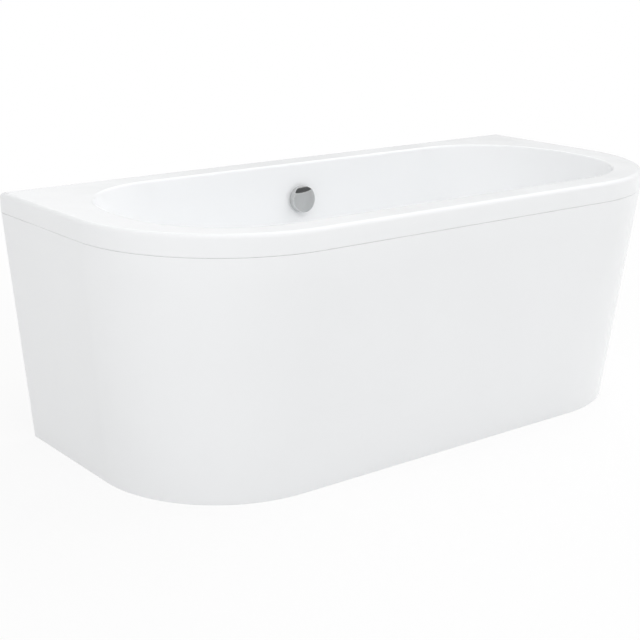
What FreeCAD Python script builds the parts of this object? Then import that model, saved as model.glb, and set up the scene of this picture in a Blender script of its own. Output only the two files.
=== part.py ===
import FreeCAD, Part
import math
import os

# D-shaped back-to-wall bath: moulded shell on a leg frame, one-piece wrap panel, pop-up waste.
# Millimetres and degrees. X runs along the wall, +Y points at the wall, Z is up, floor at z = 0.

# Rim of the shell
length = 1500.0
width = 700.0
height = 575.0
corner_radius = 345.0          # plan radius of the two front corners
shell_wall = 6.0
rim_drop = 45.0                # depth of the turned-down lip
rim_edge_radius = 10.0

# Basin, measured to the sharp edges that its roundings replace
deck_end = 86.0
deck_side = 71.0
basin_depth = 410.0
end_draft = 24.0
side_draft = 5.0
mouth_corner_centre = 42.0     # corner arcs' centres stand this far from the middle line
mouth_end_flat = 147.0         # end arc's radius is larger than the half width by this much
floor_corner_centre = 57.0
floor_end_flat = 93.0
mouth_radius = 7.0
floor_radius = 70.0

# Wrap panel
panel_gap = 0.6                # shadow gap under the lip
panel_setback = 0.5
panel_wall = 5.0
end_taper = 48.5               # how far each end leans in at the floor
front_taper = 67.5
tongue_clearance = 2.0
tongue_wall = 4.0
tongue_rise = 18.0             # tongue stands this far up behind the lip
return_width = 25.0            # back edges fold in along the wall

# Timber and board bonded under the shell
board_thickness = 15.0
board_margin = 8.0
board_corner = 40.0
batten_width = 38.0
batten_thickness = 18.0
batten_setback = 16.0
batten_end_gap = 10.0
batten_chamfer = 2.0

# Leg frame
channel_inset = 117.5          # from the board's end to the channel's middle
channel_width = 40.0
channel_depth = 25.0
channel_wall = 2.5
channel_overhang = 27.0
channel_bend = 4.0
foot_inset = 2.5
stud_diameter = 12.0
stud_above = 18.0
stud_clearance = 0.25
stud_chamfer = 1.2
board_stud_clearance = 0.35
collar_across = 17.0
collar_height = 6.0
pad_diameter = 52.0
pad_neck = 30.0
pad_height = 14.0
pad_rim = 5.0
pad_socket = 6.0
socket_clearance = 0.05
nut_across = 19.0
nut_height = 10.0
jam_nut_height = 6.0
centre_foot_y = -60.0
centre_plate_size = 90.0
centre_plate_thickness = 3.0
centre_stud_above = 6.0
screw_diameter = 4.5
screw_head = 9.0
screw_head_height = 3.0
screw_head_chamfer = 1.2
screw_reach = 10.0
screw_clearance = 0.05
screw_pitch = 70.0
screws_per_channel = 4

# Panel clips, floor brackets and wall brackets
sheet = 2.0
clip_width = 25.0
clip_reach = 30.0
clip_spacing = 300.0
front_clips = 3
end_clip_y = 150.0
floor_bracket_width = 30.0
floor_bracket_rise = 45.0
floor_bracket_reach = 35.0
floor_bracket_clearance = 20.0 # from the foot pad beside it
floor_hole = 5.5
wall_bracket_spacing = 960.0
wall_bracket_width = 60.0
wall_bracket_drop = 50.0
wall_hook_rise = 10.0
wall_hook_clearance = 2.0
wall_hole = 5.5
wall_hole_spacing = 36.0
wall_hole_drop = 28.0

# Overflow with its turning knob, set square to the back wall
overflow_depth = 88.0          # below the rim
overflow_hole = 54.0
knob_diameter = 66.0
knob_reach = 22.0
knob_back = 5.0
knob_wall = 3.0
knob_crown = 2.5
knob_edge = 2.5
knob_hollow = 6.0
knob_facet_height = 17.0       # flat grip facet starts this far above the knob's middle
knob_facet_angle = 27.0
knob_facet_turn = 6.0
knob_facet_edge = 1.0
knob_boss = 18.0
spindle_diameter = 10.0
spindle_clearance = 0.1
spindle_grip = 11.0
hub_diameter = 18.0
hub_depth = 6.0
hub_set = 10.0
spoke_width = 4.0
spoke_count = 3
rosette_diameter = 62.0
rosette_thickness = 4.0
sleeve_diameter = 47.4
sleeve_wall = 2.7
sleeve_length = 26.0
thread_clearance = 0.3
gasket_thickness = 4.0
overflow_flange = 76.0
flange_thickness = 4.0
elbow_wall = 5.0
elbow_depth = 54.0
elbow_back = 3.0
drum_diameter = 34.0
drum_width = 10.0
drum_set = 22.0
drum_groove = 2.0

# Overflow hose and the control cable beside it
spigot_diameter = 40.0
spigot_length = 34.0
spigot_bore = 26.0
socket_depth = 18.0
hose_cuff = 32.0
hose_crest = 36.0
hose_valley = 31.0
hose_bore = 27.0
hose_pitch = 8.0
hose_rib = ((0.15, hose_valley), (0.35, hose_valley), (0.55, hose_crest), (0.85, hose_crest))
hose_bend = 75.0
hose_nut_diameter = 49.0
hose_nut_length = 22.0
hose_nut_lip = 4.0
hose_nut_flutes = 12
flute_depth = 1.5
cable_diameter = 5.0
cable_offset = 33.0
cable_bend = 105.0
cable_boss = 12.0
cable_boss_length = 30.0
cable_boss_drop = 20.0
ferrule_diameter = 7.0
ferrule_length = 12.0
clip_ring = 2.0
clip_band = 8.0
clip_play = 0.3
cable_clips_at = (0.35, 0.8)   # along the hose's upper run

# Waste in the basin's floor
waste_y = 70.0
waste_hole = 52.0
recess_diameter = 76.0
recess_depth = 2.5
waste_flange_diameter = 72.0
waste_flange_thickness = 2.5
seat_diameter = 60.0
seat_depth = 1.8
throat_diameter = 44.0
throat_wall = 2.0
throat_length = 33.0
flange_seal_thickness = 1.0
waste_gasket_diameter = 80.0
waste_body_flange = 84.0
waste_body_thickness = 6.0
waste_body_diameter = 60.0
waste_body_depth = 57.0
waste_floor = 3.0
inlet_drop = 41.0              # overflow inlet below the shell's underside
tail_diameter = 47.8
tail_wall = 3.9
tail_length = 22.0
plug_diameter = 57.0
plug_edge = 2.0
plug_crown = 2.0
plug_stand = 0.2               # plug's underside above the flange
plug_seal_diameter = 54.0
plug_seal_gap = 0.35
stem_diameter = 8.0
stem_length = 50.0
stem_grip = 1.5
stem_clearance = 0.15
bush_diameter = 14.0
bush_depth = 6.0
bush_set = 2.0

# Trap under the waste
trap_washer_thickness = 1.0
trap_neck = 38.0
trap_neck_wall = 2.5
trap_neck_flange = 45.0
trap_flange_thickness = 3.0
trap_nut_across = 64.0
trap_nut_corner = 69.0         # round that cuts the nut's corners
trap_nut_height = 26.0
trap_nut_lip = 4.0
trap_neck_length = 11.0
cup_diameter = 92.0
cup_height = 50.0
cup_wall = 3.0
dip_length = 33.0
outlet_rise = 28.0             # outlet's axis above the cup's underside
outlet_diameter = 42.0
outlet_wall = 3.0
outlet_neck = 22.0
socket_bore = 40.6
socket_wall = 4.7
socket_length = 34.0
outlet_seal_thickness = 2.0
outlet_nut_wall = 6.0
outlet_nut_length = 24.0
outlet_nut_lip = 4.0
cleanout_hole = 52.0
cleanout_flange = 62.0
cleanout_thickness = 6.0
cleanout_plug = 7.0
cleanout_bar = 8.0
cleanout_clearance = 0.3

V = FreeCAD.Vector
overlap = 1.0                  # cutters run past the faces that they open

# Levels and places that follow from the sizes above
rim_bottom = height - rim_drop
deck_under = height - shell_wall
floor_top = height - basin_depth
floor_under = floor_top - shell_wall
board_under = floor_under - board_thickness
web_under = board_under - channel_wall
panel_top = rim_bottom - panel_gap
batten_under = deck_under - batten_thickness
mouth_half_length = length / 2 - deck_end
mouth_half_width = width / 2 - deck_side
floor_half_length = mouth_half_length - basin_depth * math.tan(math.radians(end_draft))
floor_half_width = mouth_half_width - basin_depth * math.tan(math.radians(side_draft))

# An outer skin's floor outline grows by these shares of its offset
end_gain = 1 - math.tan(math.radians(end_draft))
side_gain = 1 - math.tan(math.radians(side_draft))
under_radius = floor_radius + shell_wall
under_half_length = floor_half_length + shell_wall * end_gain
under_half_width = floor_half_width + shell_wall * side_gain
flat_half_length = under_half_length - under_radius * math.tan(math.radians(90 - end_draft) / 2)
flat_half_width = under_half_width - under_radius * math.tan(math.radians(90 - side_draft) / 2)
board_half_length = flat_half_length - board_margin
board_half_width = flat_half_width - board_margin
channel_x = board_half_length - channel_inset
foot_y = under_half_width - foot_inset
floor_bracket_x = channel_x - pad_diameter / 2 - floor_bracket_clearance - floor_bracket_width / 2
lip_inner = shell_wall + tongue_clearance
tongue_inner = lip_inner + tongue_wall
inlet_z = floor_under - inlet_drop
cuff_bore = hose_cuff + 2 * thread_clearance
cable_bore = cable_diameter + 2 * clip_play
cable_boss_low = -cable_boss_drop
cable_z = -drum_set - drum_width / 2

# Overflow's own frame: origin on the inside of the back wall, local z into the basin, local y up the wall
overflow_z = height - overflow_depth
overflow_y = mouth_half_width - overflow_depth * math.tan(math.radians(side_draft))
overflow_frame = FreeCAD.Placement(
    V(0, overflow_y, overflow_z), FreeCAD.Rotation(V(1, 0, 0), 90 - side_draft))
wall_out = -shell_wall * math.cos(math.radians(side_draft))
elbow_face = wall_out - gasket_thickness
spigot_set = -elbow_depth + elbow_back + spigot_diameter / 2 - overlap


# Small shape helpers

def line(a, b):
    return Part.LineSegment(a, b).toShape()


def arc(a, middle, b):
    return Part.Arc(a, middle, b).toShape()


def box(x0, x1, y0, y1, z0, z1):
    return Part.makeBox(x1 - x0, y1 - y0, z1 - z0, V(x0, y0, z0))


def rod(diameter, z0, z1, x=0.0, y=0.0):
    return Part.makeCylinder(diameter / 2, z1 - z0, V(x, y, z0))


def ring(outer, inner, z0, z1, x=0.0, y=0.0):
    return rod(outer, z0, z1, x, y).cut(rod(inner, z0 - overlap, z1 + overlap, x, y))


def rod_along_y(diameter, y0, y1, x, z):
    return Part.makeCylinder(diameter / 2, y1 - y0, V(x, y0, z), V(0, 1, 0))


def turned(points, x=0.0, y=0.0):
    """Solid of revolution about a vertical axis from (radius, z) points."""
    corners = [V(r, 0, z) for r, z in points]
    face = Part.Face(Part.makePolygon(corners + corners[:1]))
    solid = face.revolve(V(0, 0, 0), V(0, 0, 1), 360)
    solid.translate(V(x, y, 0))
    return solid


def crowned(diameter, low, high, crown):
    """Disc with a slightly domed top face."""
    ball = ((diameter / 2) ** 2 + crown ** 2) / (2 * crown)
    return rod(diameter, low, high).common(Part.makeSphere(ball, V(0, 0, high - ball)))


def hexagon(across, z0, z1, x=0.0, y=0.0):
    radius = across / math.sqrt(3)
    turns = [math.radians(60 * i) for i in range(6)]
    corners = [V(x + radius * math.cos(turn), y + radius * math.sin(turn), z0) for turn in turns]
    return Part.Face(Part.makePolygon(corners + corners[:1])).extrude(V(0, 0, z1 - z0))


def joined(shapes):
    result = shapes[0]
    for shape in shapes[1:]:
        result = result.fuse(shape)
    return result.removeSplitter()


def group(shapes):
    return Part.makeCompound(shapes)


def is_sharp(edge, shape):
    return not edge.Degenerated and not any(edge.isSeam(face) for face in shape.Faces)


def upright_edges(shape, tall):
    return [edge for edge in shape.Edges if edge.BoundBox.ZLength > tall / 2]


def stud_bore(z0, z1, x, y):
    return rod(stud_diameter + 2 * stud_clearance, z0 - overlap, z1 + overlap, x, y)


def screw_bore(z0, z1, x, y):
    return rod(screw_diameter + 2 * stud_clearance, z0 - overlap, z1 + overlap, x, y)


def pilot_bore(z, x, y):
    return rod(screw_diameter + 2 * screw_clearance, z - overlap, z + screw_reach + overlap, x, y)


def in_overflow(shape):
    result = shape.copy()
    result.Placement = overflow_frame.multiply(result.Placement)
    return result


def mirrored_x(shape):
    return shape.mirror(V(0, 0, 0), V(1, 0, 0))


# Plan outlines

def d_outline(half_length, back, front, radius, z):
    """Straight back and ends, straight front with two round corners."""
    bow = radius * (1 - math.sqrt(0.5))
    back_right = V(half_length, back, z)
    back_left = V(-half_length, back, z)
    left = V(-half_length, front + radius, z)
    front_left = V(-half_length + radius, front, z)
    front_right = V(half_length - radius, front, z)
    right = V(half_length, front + radius, z)
    return Part.Wire([
        line(back_right, back_left),
        line(back_left, left),
        arc(left, V(-half_length + bow, front + bow, z), front_left),
        line(front_left, front_right),
        arc(front_right, V(half_length - bow, front + bow, z), right),
        line(right, back_right)])


def rim_outline(inset, z, past_back=0.0):
    back = width / 2 + past_back if past_back else width / 2 - inset
    return d_outline(length / 2 - inset, back, -width / 2 + inset, corner_radius - inset, z)


def oval_outline(half_length, half_width, corner_centre, end_flat, z):
    """Straight sides, tangent corner arcs and one shallow arc across each end."""
    corner = half_width - corner_centre
    end = half_width + end_flat
    end_x = half_length - end
    corner_x = end_x + math.sqrt((end - corner) ** 2 - corner_centre ** 2)
    turn = math.atan2(corner_centre, corner_x - end_x)
    middle = (math.pi / 2 + turn) / 2
    meet = (corner_x + corner * math.cos(turn), corner_centre + corner * math.sin(turn))
    half = (corner_x + corner * math.cos(middle), corner_centre + corner * math.sin(middle))

    def at(x, y):
        return V(x, y, z)

    edges = [line(at(-corner_x, -half_width), at(corner_x, -half_width))]
    edges.append(arc(at(corner_x, -half_width), at(half[0], -half[1]), at(meet[0], -meet[1])))
    edges.append(arc(at(meet[0], -meet[1]), at(half_length, 0), at(*meet)))
    edges.append(arc(at(*meet), at(*half), at(corner_x, half_width)))
    edges.append(line(at(corner_x, half_width), at(-corner_x, half_width)))
    edges.append(arc(at(-corner_x, half_width), at(-half[0], half[1]), at(-meet[0], meet[1])))
    edges.append(arc(at(-meet[0], meet[1]), at(-half_length, 0), at(-meet[0], -meet[1])))
    edges.append(arc(at(-meet[0], -meet[1]), at(-half[0], -half[1]), at(-corner_x, -half_width)))
    return Part.Wire(edges)


def level_edges(shape, z, half_x, half_y):
    """Edges that lie flat at one level inside a plan window."""
    def inside(edge):
        bounds = edge.BoundBox
        level = bounds.ZMax - bounds.ZMin < 1e-4 and abs(bounds.ZMax - z) < 1e-4
        return level and max(bounds.XMax, -bounds.XMin) < half_x and max(bounds.YMax, -bounds.YMin) < half_y
    return [edge for edge in shape.Edges if inside(edge)]


# Shell

def basin(offset, top):
    """Basin as a solid, grown by an offset, from a top level down to its rounded floor."""
    rise = top - height
    mouth = oval_outline(
        mouth_half_length + rise * math.tan(math.radians(end_draft)) + offset,
        mouth_half_width + rise * math.tan(math.radians(side_draft)) + offset,
        mouth_corner_centre, mouth_end_flat, top)
    bottom = floor_top - offset
    floor = oval_outline(
        floor_half_length + offset * end_gain, floor_half_width + offset * side_gain,
        floor_corner_centre, floor_end_flat, bottom)
    solid = Part.makeLoft([floor, mouth], True, True)
    return solid.makeFillet(floor_radius + offset, level_edges(solid, bottom, length, width))


def bath_shell():
    slab = Part.Face(rim_outline(0, rim_bottom)).extrude(V(0, 0, rim_drop))
    slab = slab.makeFillet(rim_edge_radius, level_edges(slab, height, length, width))
    inside = Part.Face(rim_outline(shell_wall, rim_bottom - overlap))
    hollow = inside.extrude(V(0, 0, deck_under - rim_bottom + overlap))
    shell = slab.cut(hollow).fuse(basin(shell_wall, height - shell_wall / 2))
    window_x = mouth_half_length + shell_wall + overlap
    window_y = mouth_half_width + shell_wall + overlap
    shell = shell.makeFillet(mouth_radius - shell_wall, level_edges(shell, deck_under, window_x, window_y))
    shell = shell.cut(basin(0, height + overlap))
    shell = shell.makeFillet(mouth_radius, level_edges(shell, height, window_x, window_y))
    recess = rod(recess_diameter, floor_top - recess_depth, floor_top + overlap, 0, waste_y)
    drain = rod(waste_hole, floor_under - overlap, floor_top + overlap, 0, waste_y)
    overflow = in_overflow(rod(overflow_hole, wall_out - overlap, overlap))
    return shell.cut(recess).cut(drain).cut(overflow)


def screw_places():
    places = []
    for side in (-1, 1):
        for i in range(screws_per_channel):
            places.append((side * channel_x, (i - (screws_per_channel - 1) / 2) * screw_pitch))
    return places


def plate_screw_places():
    reach = centre_plate_size / 2 - screw_head
    return [(x * reach, centre_foot_y + y * reach) for x in (-1, 1) for y in (-1, 1)]


def base_board():
    board = box(-board_half_length, board_half_length, -board_half_width, board_half_width,
                board_under, floor_under)
    board = board.makeFillet(board_corner, upright_edges(board, board_thickness))
    waste_opening = waste_body_flange + 2 * board_margin
    cutters = [rod(waste_opening, board_under - overlap, floor_under + overlap, 0, waste_y)]
    stud_hole = stud_diameter + 2 * board_stud_clearance
    cutters.append(rod(stud_hole, board_under - overlap, floor_under + overlap, 0, centre_foot_y))
    for x, y in screw_places() + plate_screw_places():
        cutters.append(pilot_bore(board_under, x, y))
    return board.cut(group(cutters))


def rim_batten(x0, x1, y0, y1):
    batten = box(x0, x1, y0, y1, batten_under, deck_under)
    lower = [edge for edge in batten.Edges if edge.BoundBox.ZMax < batten_under + overlap / 2]
    return batten.makeChamfer(batten_chamfer, lower)


def drilled(batten, places):
    return batten.cut(group([pilot_bore(batten_under, x, y) for x, y in places]))


# Leg frame and feet

foot_places = {
    "front_left": (-channel_x, -foot_y),
    "front_right": (channel_x, -foot_y),
    "back_left": (-channel_x, foot_y),
    "back_right": (channel_x, foot_y),
    "centre": (0.0, centre_foot_y)}


def leg_channel(side):
    x = side * channel_x
    half = channel_width / 2
    reach = foot_y + channel_overhang
    outer = box(x - half, x + half, -reach, reach, board_under - channel_depth, board_under)
    lengthwise = [edge for edge in outer.Edges if edge.BoundBox.YLength > reach]
    bends = [edge for edge in lengthwise if edge.BoundBox.ZMin > board_under - overlap / 2]
    outer = outer.makeFillet(channel_bend, bends)
    inner = box(x - half + channel_wall, x + half - channel_wall, -reach - overlap, reach + overlap,
                board_under - channel_depth - overlap, web_under)
    channel = outer.cut(inner)
    holes = [stud_bore(web_under, board_under, x, y) for y in (-foot_y, foot_y)]
    holes += [screw_bore(web_under, board_under, *place) for place in screw_places()]
    return channel.cut(group(holes))


def centre_foot_plate():
    half = centre_plate_size / 2
    under = board_under - centre_plate_thickness
    plate = box(-half, half, centre_foot_y - half, centre_foot_y + half, under, board_under)
    plate = plate.makeFillet(screw_head, upright_edges(plate, centre_plate_thickness))
    holes = [stud_bore(under, board_under, 0, centre_foot_y)]
    holes += [screw_bore(under, board_under, *place) for place in plate_screw_places()]
    return plate.cut(group(holes))


def nut(z0, z1, x, y):
    return hexagon(nut_across, z0, z1, x, y).cut(stud_bore(z0, z1, x, y))


def foot_nuts():
    nuts = []
    for name, (x, y) in foot_places.items():
        seat = board_under - centre_plate_thickness if name == "centre" else web_under
        nuts.append(nut(seat - nut_height, seat, x, y))
        if name != "centre":
            nuts.append(nut(board_under, board_under + jam_nut_height, x, y))
    return group(nuts)


def foot_stud(name):
    x, y = foot_places[name]
    above = centre_stud_above if name == "centre" else stud_above
    stud = rod(stud_diameter, pad_height - pad_socket, board_under + above, x, y)
    tip = [edge for edge in stud.Edges if edge.BoundBox.ZMin > board_under]
    stud = stud.makeChamfer(stud_chamfer, tip)
    return joined([stud, hexagon(collar_across, pad_height, pad_height + collar_height, x, y)])


def foot_pad(name):
    x, y = foot_places[name]
    socket = stud_diameter / 2 + socket_clearance
    return turned([
        (0, 0), (pad_diameter / 2, 0), (pad_diameter / 2, pad_rim), (pad_neck / 2, pad_height),
        (socket, pad_height), (socket, pad_height - pad_socket), (0, pad_height - pad_socket)], x, y)


def pan_screw(z, x, y):
    """Screw driven upwards from a face at level z."""
    head = screw_head / 2
    shank = screw_diameter / 2
    under = z - screw_head_height
    tip = z + sheet + screw_reach
    return turned([(0, under), (head - screw_head_chamfer, under), (head, under + screw_head_chamfer),
                   (head, z), (shank, z), (shank, tip), (0, tip)], x, y)


def frame_screws():
    screws = [pan_screw(web_under, x, y) for x, y in screw_places()]
    plate_under = board_under - centre_plate_thickness
    return group(screws + [pan_screw(plate_under, x, y) for x, y in plate_screw_places()])


# Wrap panel with its fixings

def panel_solid(inset, past_back):
    """Leaning panel filled solid; it runs past the wall line where it is to stay open."""
    edge = panel_setback + inset
    back = width / 2 + past_back
    top = d_outline(length / 2 - edge, back, -width / 2 + edge, corner_radius - edge, panel_top)
    foot = d_outline(length / 2 - edge - end_taper, back, -width / 2 + edge + front_taper,
                     corner_radius - edge - end_taper, 0)
    return Part.makeLoft([foot, top], True, True)


def panel_band(inset, thickness):
    return panel_solid(inset, 0).cut(panel_solid(inset + thickness, overlap))


def wrap_panel():
    skin = panel_band(0, panel_wall)
    fold = panel_band(0, panel_wall + return_width)
    returns = fold.common(box(-length, length, width / 2 - panel_wall, width / 2, 0, panel_top))
    shelf = panel_band(0, tongue_inner - panel_setback)
    ledge = shelf.common(box(-length, length, -width, width, panel_top - panel_wall, panel_top))
    low = panel_top - panel_wall
    tongue_height = panel_wall + panel_gap + tongue_rise
    outside = Part.Face(rim_outline(lip_inner, low, overlap)).extrude(V(0, 0, tongue_height))
    inside = Part.Face(rim_outline(tongue_inner, low, 2 * overlap)).extrude(V(0, 0, tongue_height))
    tongue = outside.cut(inside)
    room = box(-length, length, -width, width / 2 - lip_inner - tongue_wall, low, height)
    return joined([skin, returns, ledge, tongue.common(room)])


def clip_places():
    front = -width / 2 + tongue_inner
    places = [((i - (front_clips - 1) / 2) * clip_spacing, front, 0) for i in range(front_clips)]
    end = length / 2 - tongue_inner
    return places + [(-end, end_clip_y, -90), (end, end_clip_y, 90)]


def clip_screw_places():
    middle = clip_reach / 2 + sheet
    places = []
    for x, y, turn in clip_places():
        angle = math.radians(turn)
        places.append((x - middle * math.sin(angle), y + middle * math.cos(angle)))
    return places


def panel_clips():
    clips = []
    for x, y, turn in clip_places():
        half = clip_width / 2
        upright = box(-half, half, 0, sheet, panel_top, batten_under)
        flat = box(-half, half, 0, clip_reach + sheet, batten_under - sheet, batten_under)
        hole = screw_bore(batten_under - sheet, batten_under, 0, clip_reach / 2 + sheet)
        clip = joined([upright, flat]).cut(hole)
        clip.Placement = FreeCAD.Placement(V(x, y, 0), FreeCAD.Rotation(V(0, 0, 1), turn))
        clips.append(clip)
    return group(clips)


def clip_screws():
    return group([pan_screw(batten_under - sheet, x, y) for x, y in clip_screw_places()])


def panel_brackets():
    """Angle brackets that hold the panel's foot: one leg on the floor, one flat against the panel."""
    against = panel_band(panel_wall, sheet)
    inside = panel_solid(panel_wall, overlap)
    front = -width / 2 + panel_setback + panel_wall + front_taper
    end = length / 2 - panel_setback - panel_wall - end_taper
    half = floor_bracket_width / 2
    hole_set = floor_bracket_reach / 2

    def bracket(x0, x1, y0, y1, hole_x, hole_y):
        leg = against.common(box(x0, x1, y0, y1, 0, floor_bracket_rise))
        base = inside.common(box(x0, x1, y0, y1, 0, sheet))
        return joined([leg, base]).cut(rod(floor_hole, -overlap, 2 * sheet, hole_x, hole_y))

    brackets = []
    for x in (-floor_bracket_x, floor_bracket_x):
        brackets.append(bracket(x - half, x + half, -width, front + floor_bracket_reach, x, front + hole_set))
    right = bracket(end - floor_bracket_reach, length, end_clip_y - half, end_clip_y + half,
                    end - hole_set, end_clip_y)
    return group(brackets + [right, mirrored_x(right)])


def wall_bracket(side):
    """Hook on the wall that carries the back lip of the rim."""
    x = side * wall_bracket_spacing / 2
    half = wall_bracket_width / 2
    wall = width / 2
    hook = wall - shell_wall - wall_hook_clearance
    plate = box(x - half, x + half, wall - sheet, wall, rim_bottom - wall_bracket_drop, rim_bottom)
    ledge = box(x - half, x + half, hook - sheet, wall, rim_bottom - sheet, rim_bottom)
    upright = box(x - half, x + half, hook - sheet, hook, rim_bottom - sheet, rim_bottom + wall_hook_rise)
    hole_z = rim_bottom - wall_hole_drop
    holes = []
    for hole_x in (x - wall_hole_spacing / 2, x + wall_hole_spacing / 2):
        holes.append(rod_along_y(wall_hole, wall - sheet - overlap, wall + overlap, hole_x, hole_z))
    return joined([plate, ledge, upright]).cut(group(holes))


# Overflow

def spokes(inner, outer, z0, z1):
    arms = [box(inner, outer, -spoke_width / 2, spoke_width / 2, z0, z1) for _ in range(spoke_count)]
    for i, arm in enumerate(arms):
        arm.rotate(V(0, 0, 0), V(0, 0, 1), 90 + 360 * i / spoke_count)
    return arms


def overflow_rosette():
    bore = sleeve_diameter - 2 * sleeve_wall
    plate = ring(rosette_diameter, bore, 0, rosette_thickness)
    rim = [edge for edge in plate.Edges
           if edge.BoundBox.ZMin > overlap and edge.BoundBox.XMax > sleeve_diameter / 2]
    plate = plate.makeFillet(rosette_thickness / 2, rim)
    sleeve = ring(sleeve_diameter, bore, -sleeve_length, overlap)
    hub_low = -hub_set - hub_depth
    hub_bore = spindle_diameter + 2 * spindle_clearance
    hub = rod(hub_diameter, hub_low, -hub_set)
    web = joined([hub] + spokes(hub_diameter / 4, bore / 2 + sleeve_wall / 2, hub_low, -hub_set))
    web = web.cut(rod(hub_bore, hub_low - overlap, overlap))
    return in_overflow(joined([plate, sleeve, web]))


def overflow_gasket():
    return in_overflow(ring(overflow_flange - 2 * gasket_thickness, overflow_hole, elbow_face, wall_out))


def overflow_elbow():
    bore = sleeve_diameter + 2 * thread_clearance
    barrel = bore + 2 * elbow_wall
    body = joined([rod(overflow_flange, elbow_face - flange_thickness, elbow_face),
                   rod(barrel, -elbow_depth, elbow_face)])
    spigot_end = -bore / 2 - spigot_length
    body = joined([body, rod_along_y(spigot_diameter, spigot_end, 0, 0, spigot_set)])
    boss_high = cable_boss_low + cable_boss_length
    body = joined([body, rod_along_y(cable_boss, cable_boss_low, boss_high, cable_offset, cable_z)])
    cut = rod(bore, -elbow_depth + elbow_back, elbow_face + overlap)
    cut = cut.fuse(rod_along_y(spigot_bore, spigot_end, 0, 0, spigot_set))
    cut = cut.fuse(rod_along_y(cuff_bore, spigot_end - overlap, spigot_end + socket_depth, 0, spigot_set))
    seat = cable_boss_low + cable_boss_length / 2
    cut = cut.fuse(rod_along_y(cable_bore, cable_boss_low - overlap, seat, cable_offset, cable_z))
    bearing = ring(hub_diameter, spindle_diameter + 2 * spindle_clearance,
                   -elbow_depth + elbow_back - overlap / 2, -elbow_depth + elbow_back + hub_depth)
    return in_overflow(joined([body.cut(cut), bearing]))


def overflow_knob():
    """Round chrome cap, slightly crowned, with one flat grip facet across its upper edge."""
    cap = crowned(knob_diameter, knob_back, knob_reach, knob_crown)
    rim = [edge for edge in cap.Edges if is_sharp(edge, cap) and edge.BoundBox.ZMin > knob_back + overlap]
    cap = cap.makeFillet(knob_edge, rim)
    facet = box(-knob_diameter, knob_diameter, -knob_diameter, knob_diameter, 0, knob_diameter)
    facet.rotate(V(0, 0, 0), V(1, 0, 0), -knob_facet_angle)
    sunk = knob_crown * (2 * knob_facet_height / knob_diameter) ** 2
    facet.translate(V(0, knob_facet_height, knob_reach - sunk))
    facet.rotate(V(0, 0, 0), V(0, 0, 1), knob_facet_turn)
    cap = cap.cut(facet)
    slanted = [face for face in cap.Faces
               if face.Surface.TypeId == "Part::GeomPlane" and face.BoundBox.ZLength > overlap]
    cap = cap.makeFillet(knob_facet_edge, slanted[0].Edges)
    hollow = ring(knob_diameter - 2 * knob_wall, knob_boss, knob_back - overlap, knob_back + knob_hollow)
    grip = rod(spindle_diameter + 2 * socket_clearance, knob_back - overlap, knob_back + spindle_grip)
    return in_overflow(cap.cut(hollow).cut(grip))


def knob_spindle():
    low = -elbow_depth + elbow_back + socket_clearance
    return in_overflow(rod(spindle_diameter, low, knob_back + spindle_grip))


def cable_drum():
    low = -drum_set - drum_width
    bore = spindle_diameter / 2 + socket_clearance
    radius = drum_diameter / 2
    groove = drum_width / 2
    return in_overflow(turned([
        (bore, low), (radius, low), (radius, low + groove - drum_groove),
        (radius - drum_groove, low + groove), (radius, low + groove + drum_groove),
        (radius, -drum_set), (bore, -drum_set)]))


# Hose and cable, both lying in planes square to the wall

def bent_run(x, local_z, start_y, end_y, bend):
    """Points and directions of a run down the wall, one bend, and a run forward under the floor."""
    start = overflow_frame.multVec(V(x, start_y, local_z))
    down = overflow_frame.Rotation.multVec(V(0, -1, 0))
    forward = V(0, -1, 0)
    corner = start + down * ((inlet_z - start.z) / down.z)
    turn = math.acos(down.dot(forward))
    reach = bend * math.tan(turn / 2)
    first = corner - down * reach
    last = corner + forward * reach
    end = V(x, end_y, inlet_z)
    inward = forward * math.cos(turn / 2) - down * math.cos(turn / 2)
    inward.normalize()
    centre = corner + inward * (bend / math.cos(turn / 2))
    middle = centre - inward * bend
    return {"start": start, "first": first, "middle": middle, "last": last, "end": end, "down": down,
            "forward": forward, "centre": centre, "turn": turn, "bend": bend}


def run_length(run):
    straight = (run["first"] - run["start"]).Length + (run["end"] - run["last"]).Length
    return straight + run["bend"] * run["turn"]


def run_frame(run, along):
    """Placement at a distance along a run, with its z along the run and its x steady."""
    upper = (run["first"] - run["start"]).Length
    curved = run["bend"] * run["turn"]
    if along <= upper:
        point = run["start"] + run["down"] * along
        heading = run["down"]
    elif along <= upper + curved:
        spin = FreeCAD.Rotation(run["down"], run["forward"])
        part = FreeCAD.Rotation(spin.Axis, math.degrees((along - upper) / run["bend"]))
        point = run["centre"] + part.multVec(run["first"] - run["centre"])
        heading = part.multVec(run["down"])
    else:
        point = run["last"] + run["forward"] * (along - upper - curved)
        heading = run["forward"]
    return FreeCAD.Placement(point, FreeCAD.Rotation(V(1, 0, 0), V(0, 0, 0), heading, "ZXY"))


def tube_along(run, diameter):
    path = Part.Wire([
        line(run["start"], run["first"]), arc(run["first"], run["middle"], run["last"]),
        line(run["last"], run["end"])])
    section = Part.Wire([Part.Circle(run["start"], run["down"], diameter / 2).toShape()])
    return path.makePipeShell([section], True, False)


def hose_run():
    bore = sleeve_diameter + 2 * thread_clearance
    start_y = -bore / 2 - spigot_length + socket_depth
    end_y = waste_y + waste_body_diameter / 2 + spigot_length - socket_depth
    return bent_run(0, spigot_set, start_y, end_y, hose_bend)


def circle_at(run, along, diameter):
    circle = Part.Wire([Part.Circle(V(0, 0, 0), V(0, 0, 1), diameter / 2).toShape()])
    circle.Placement = run_frame(run, along)
    return circle


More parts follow.
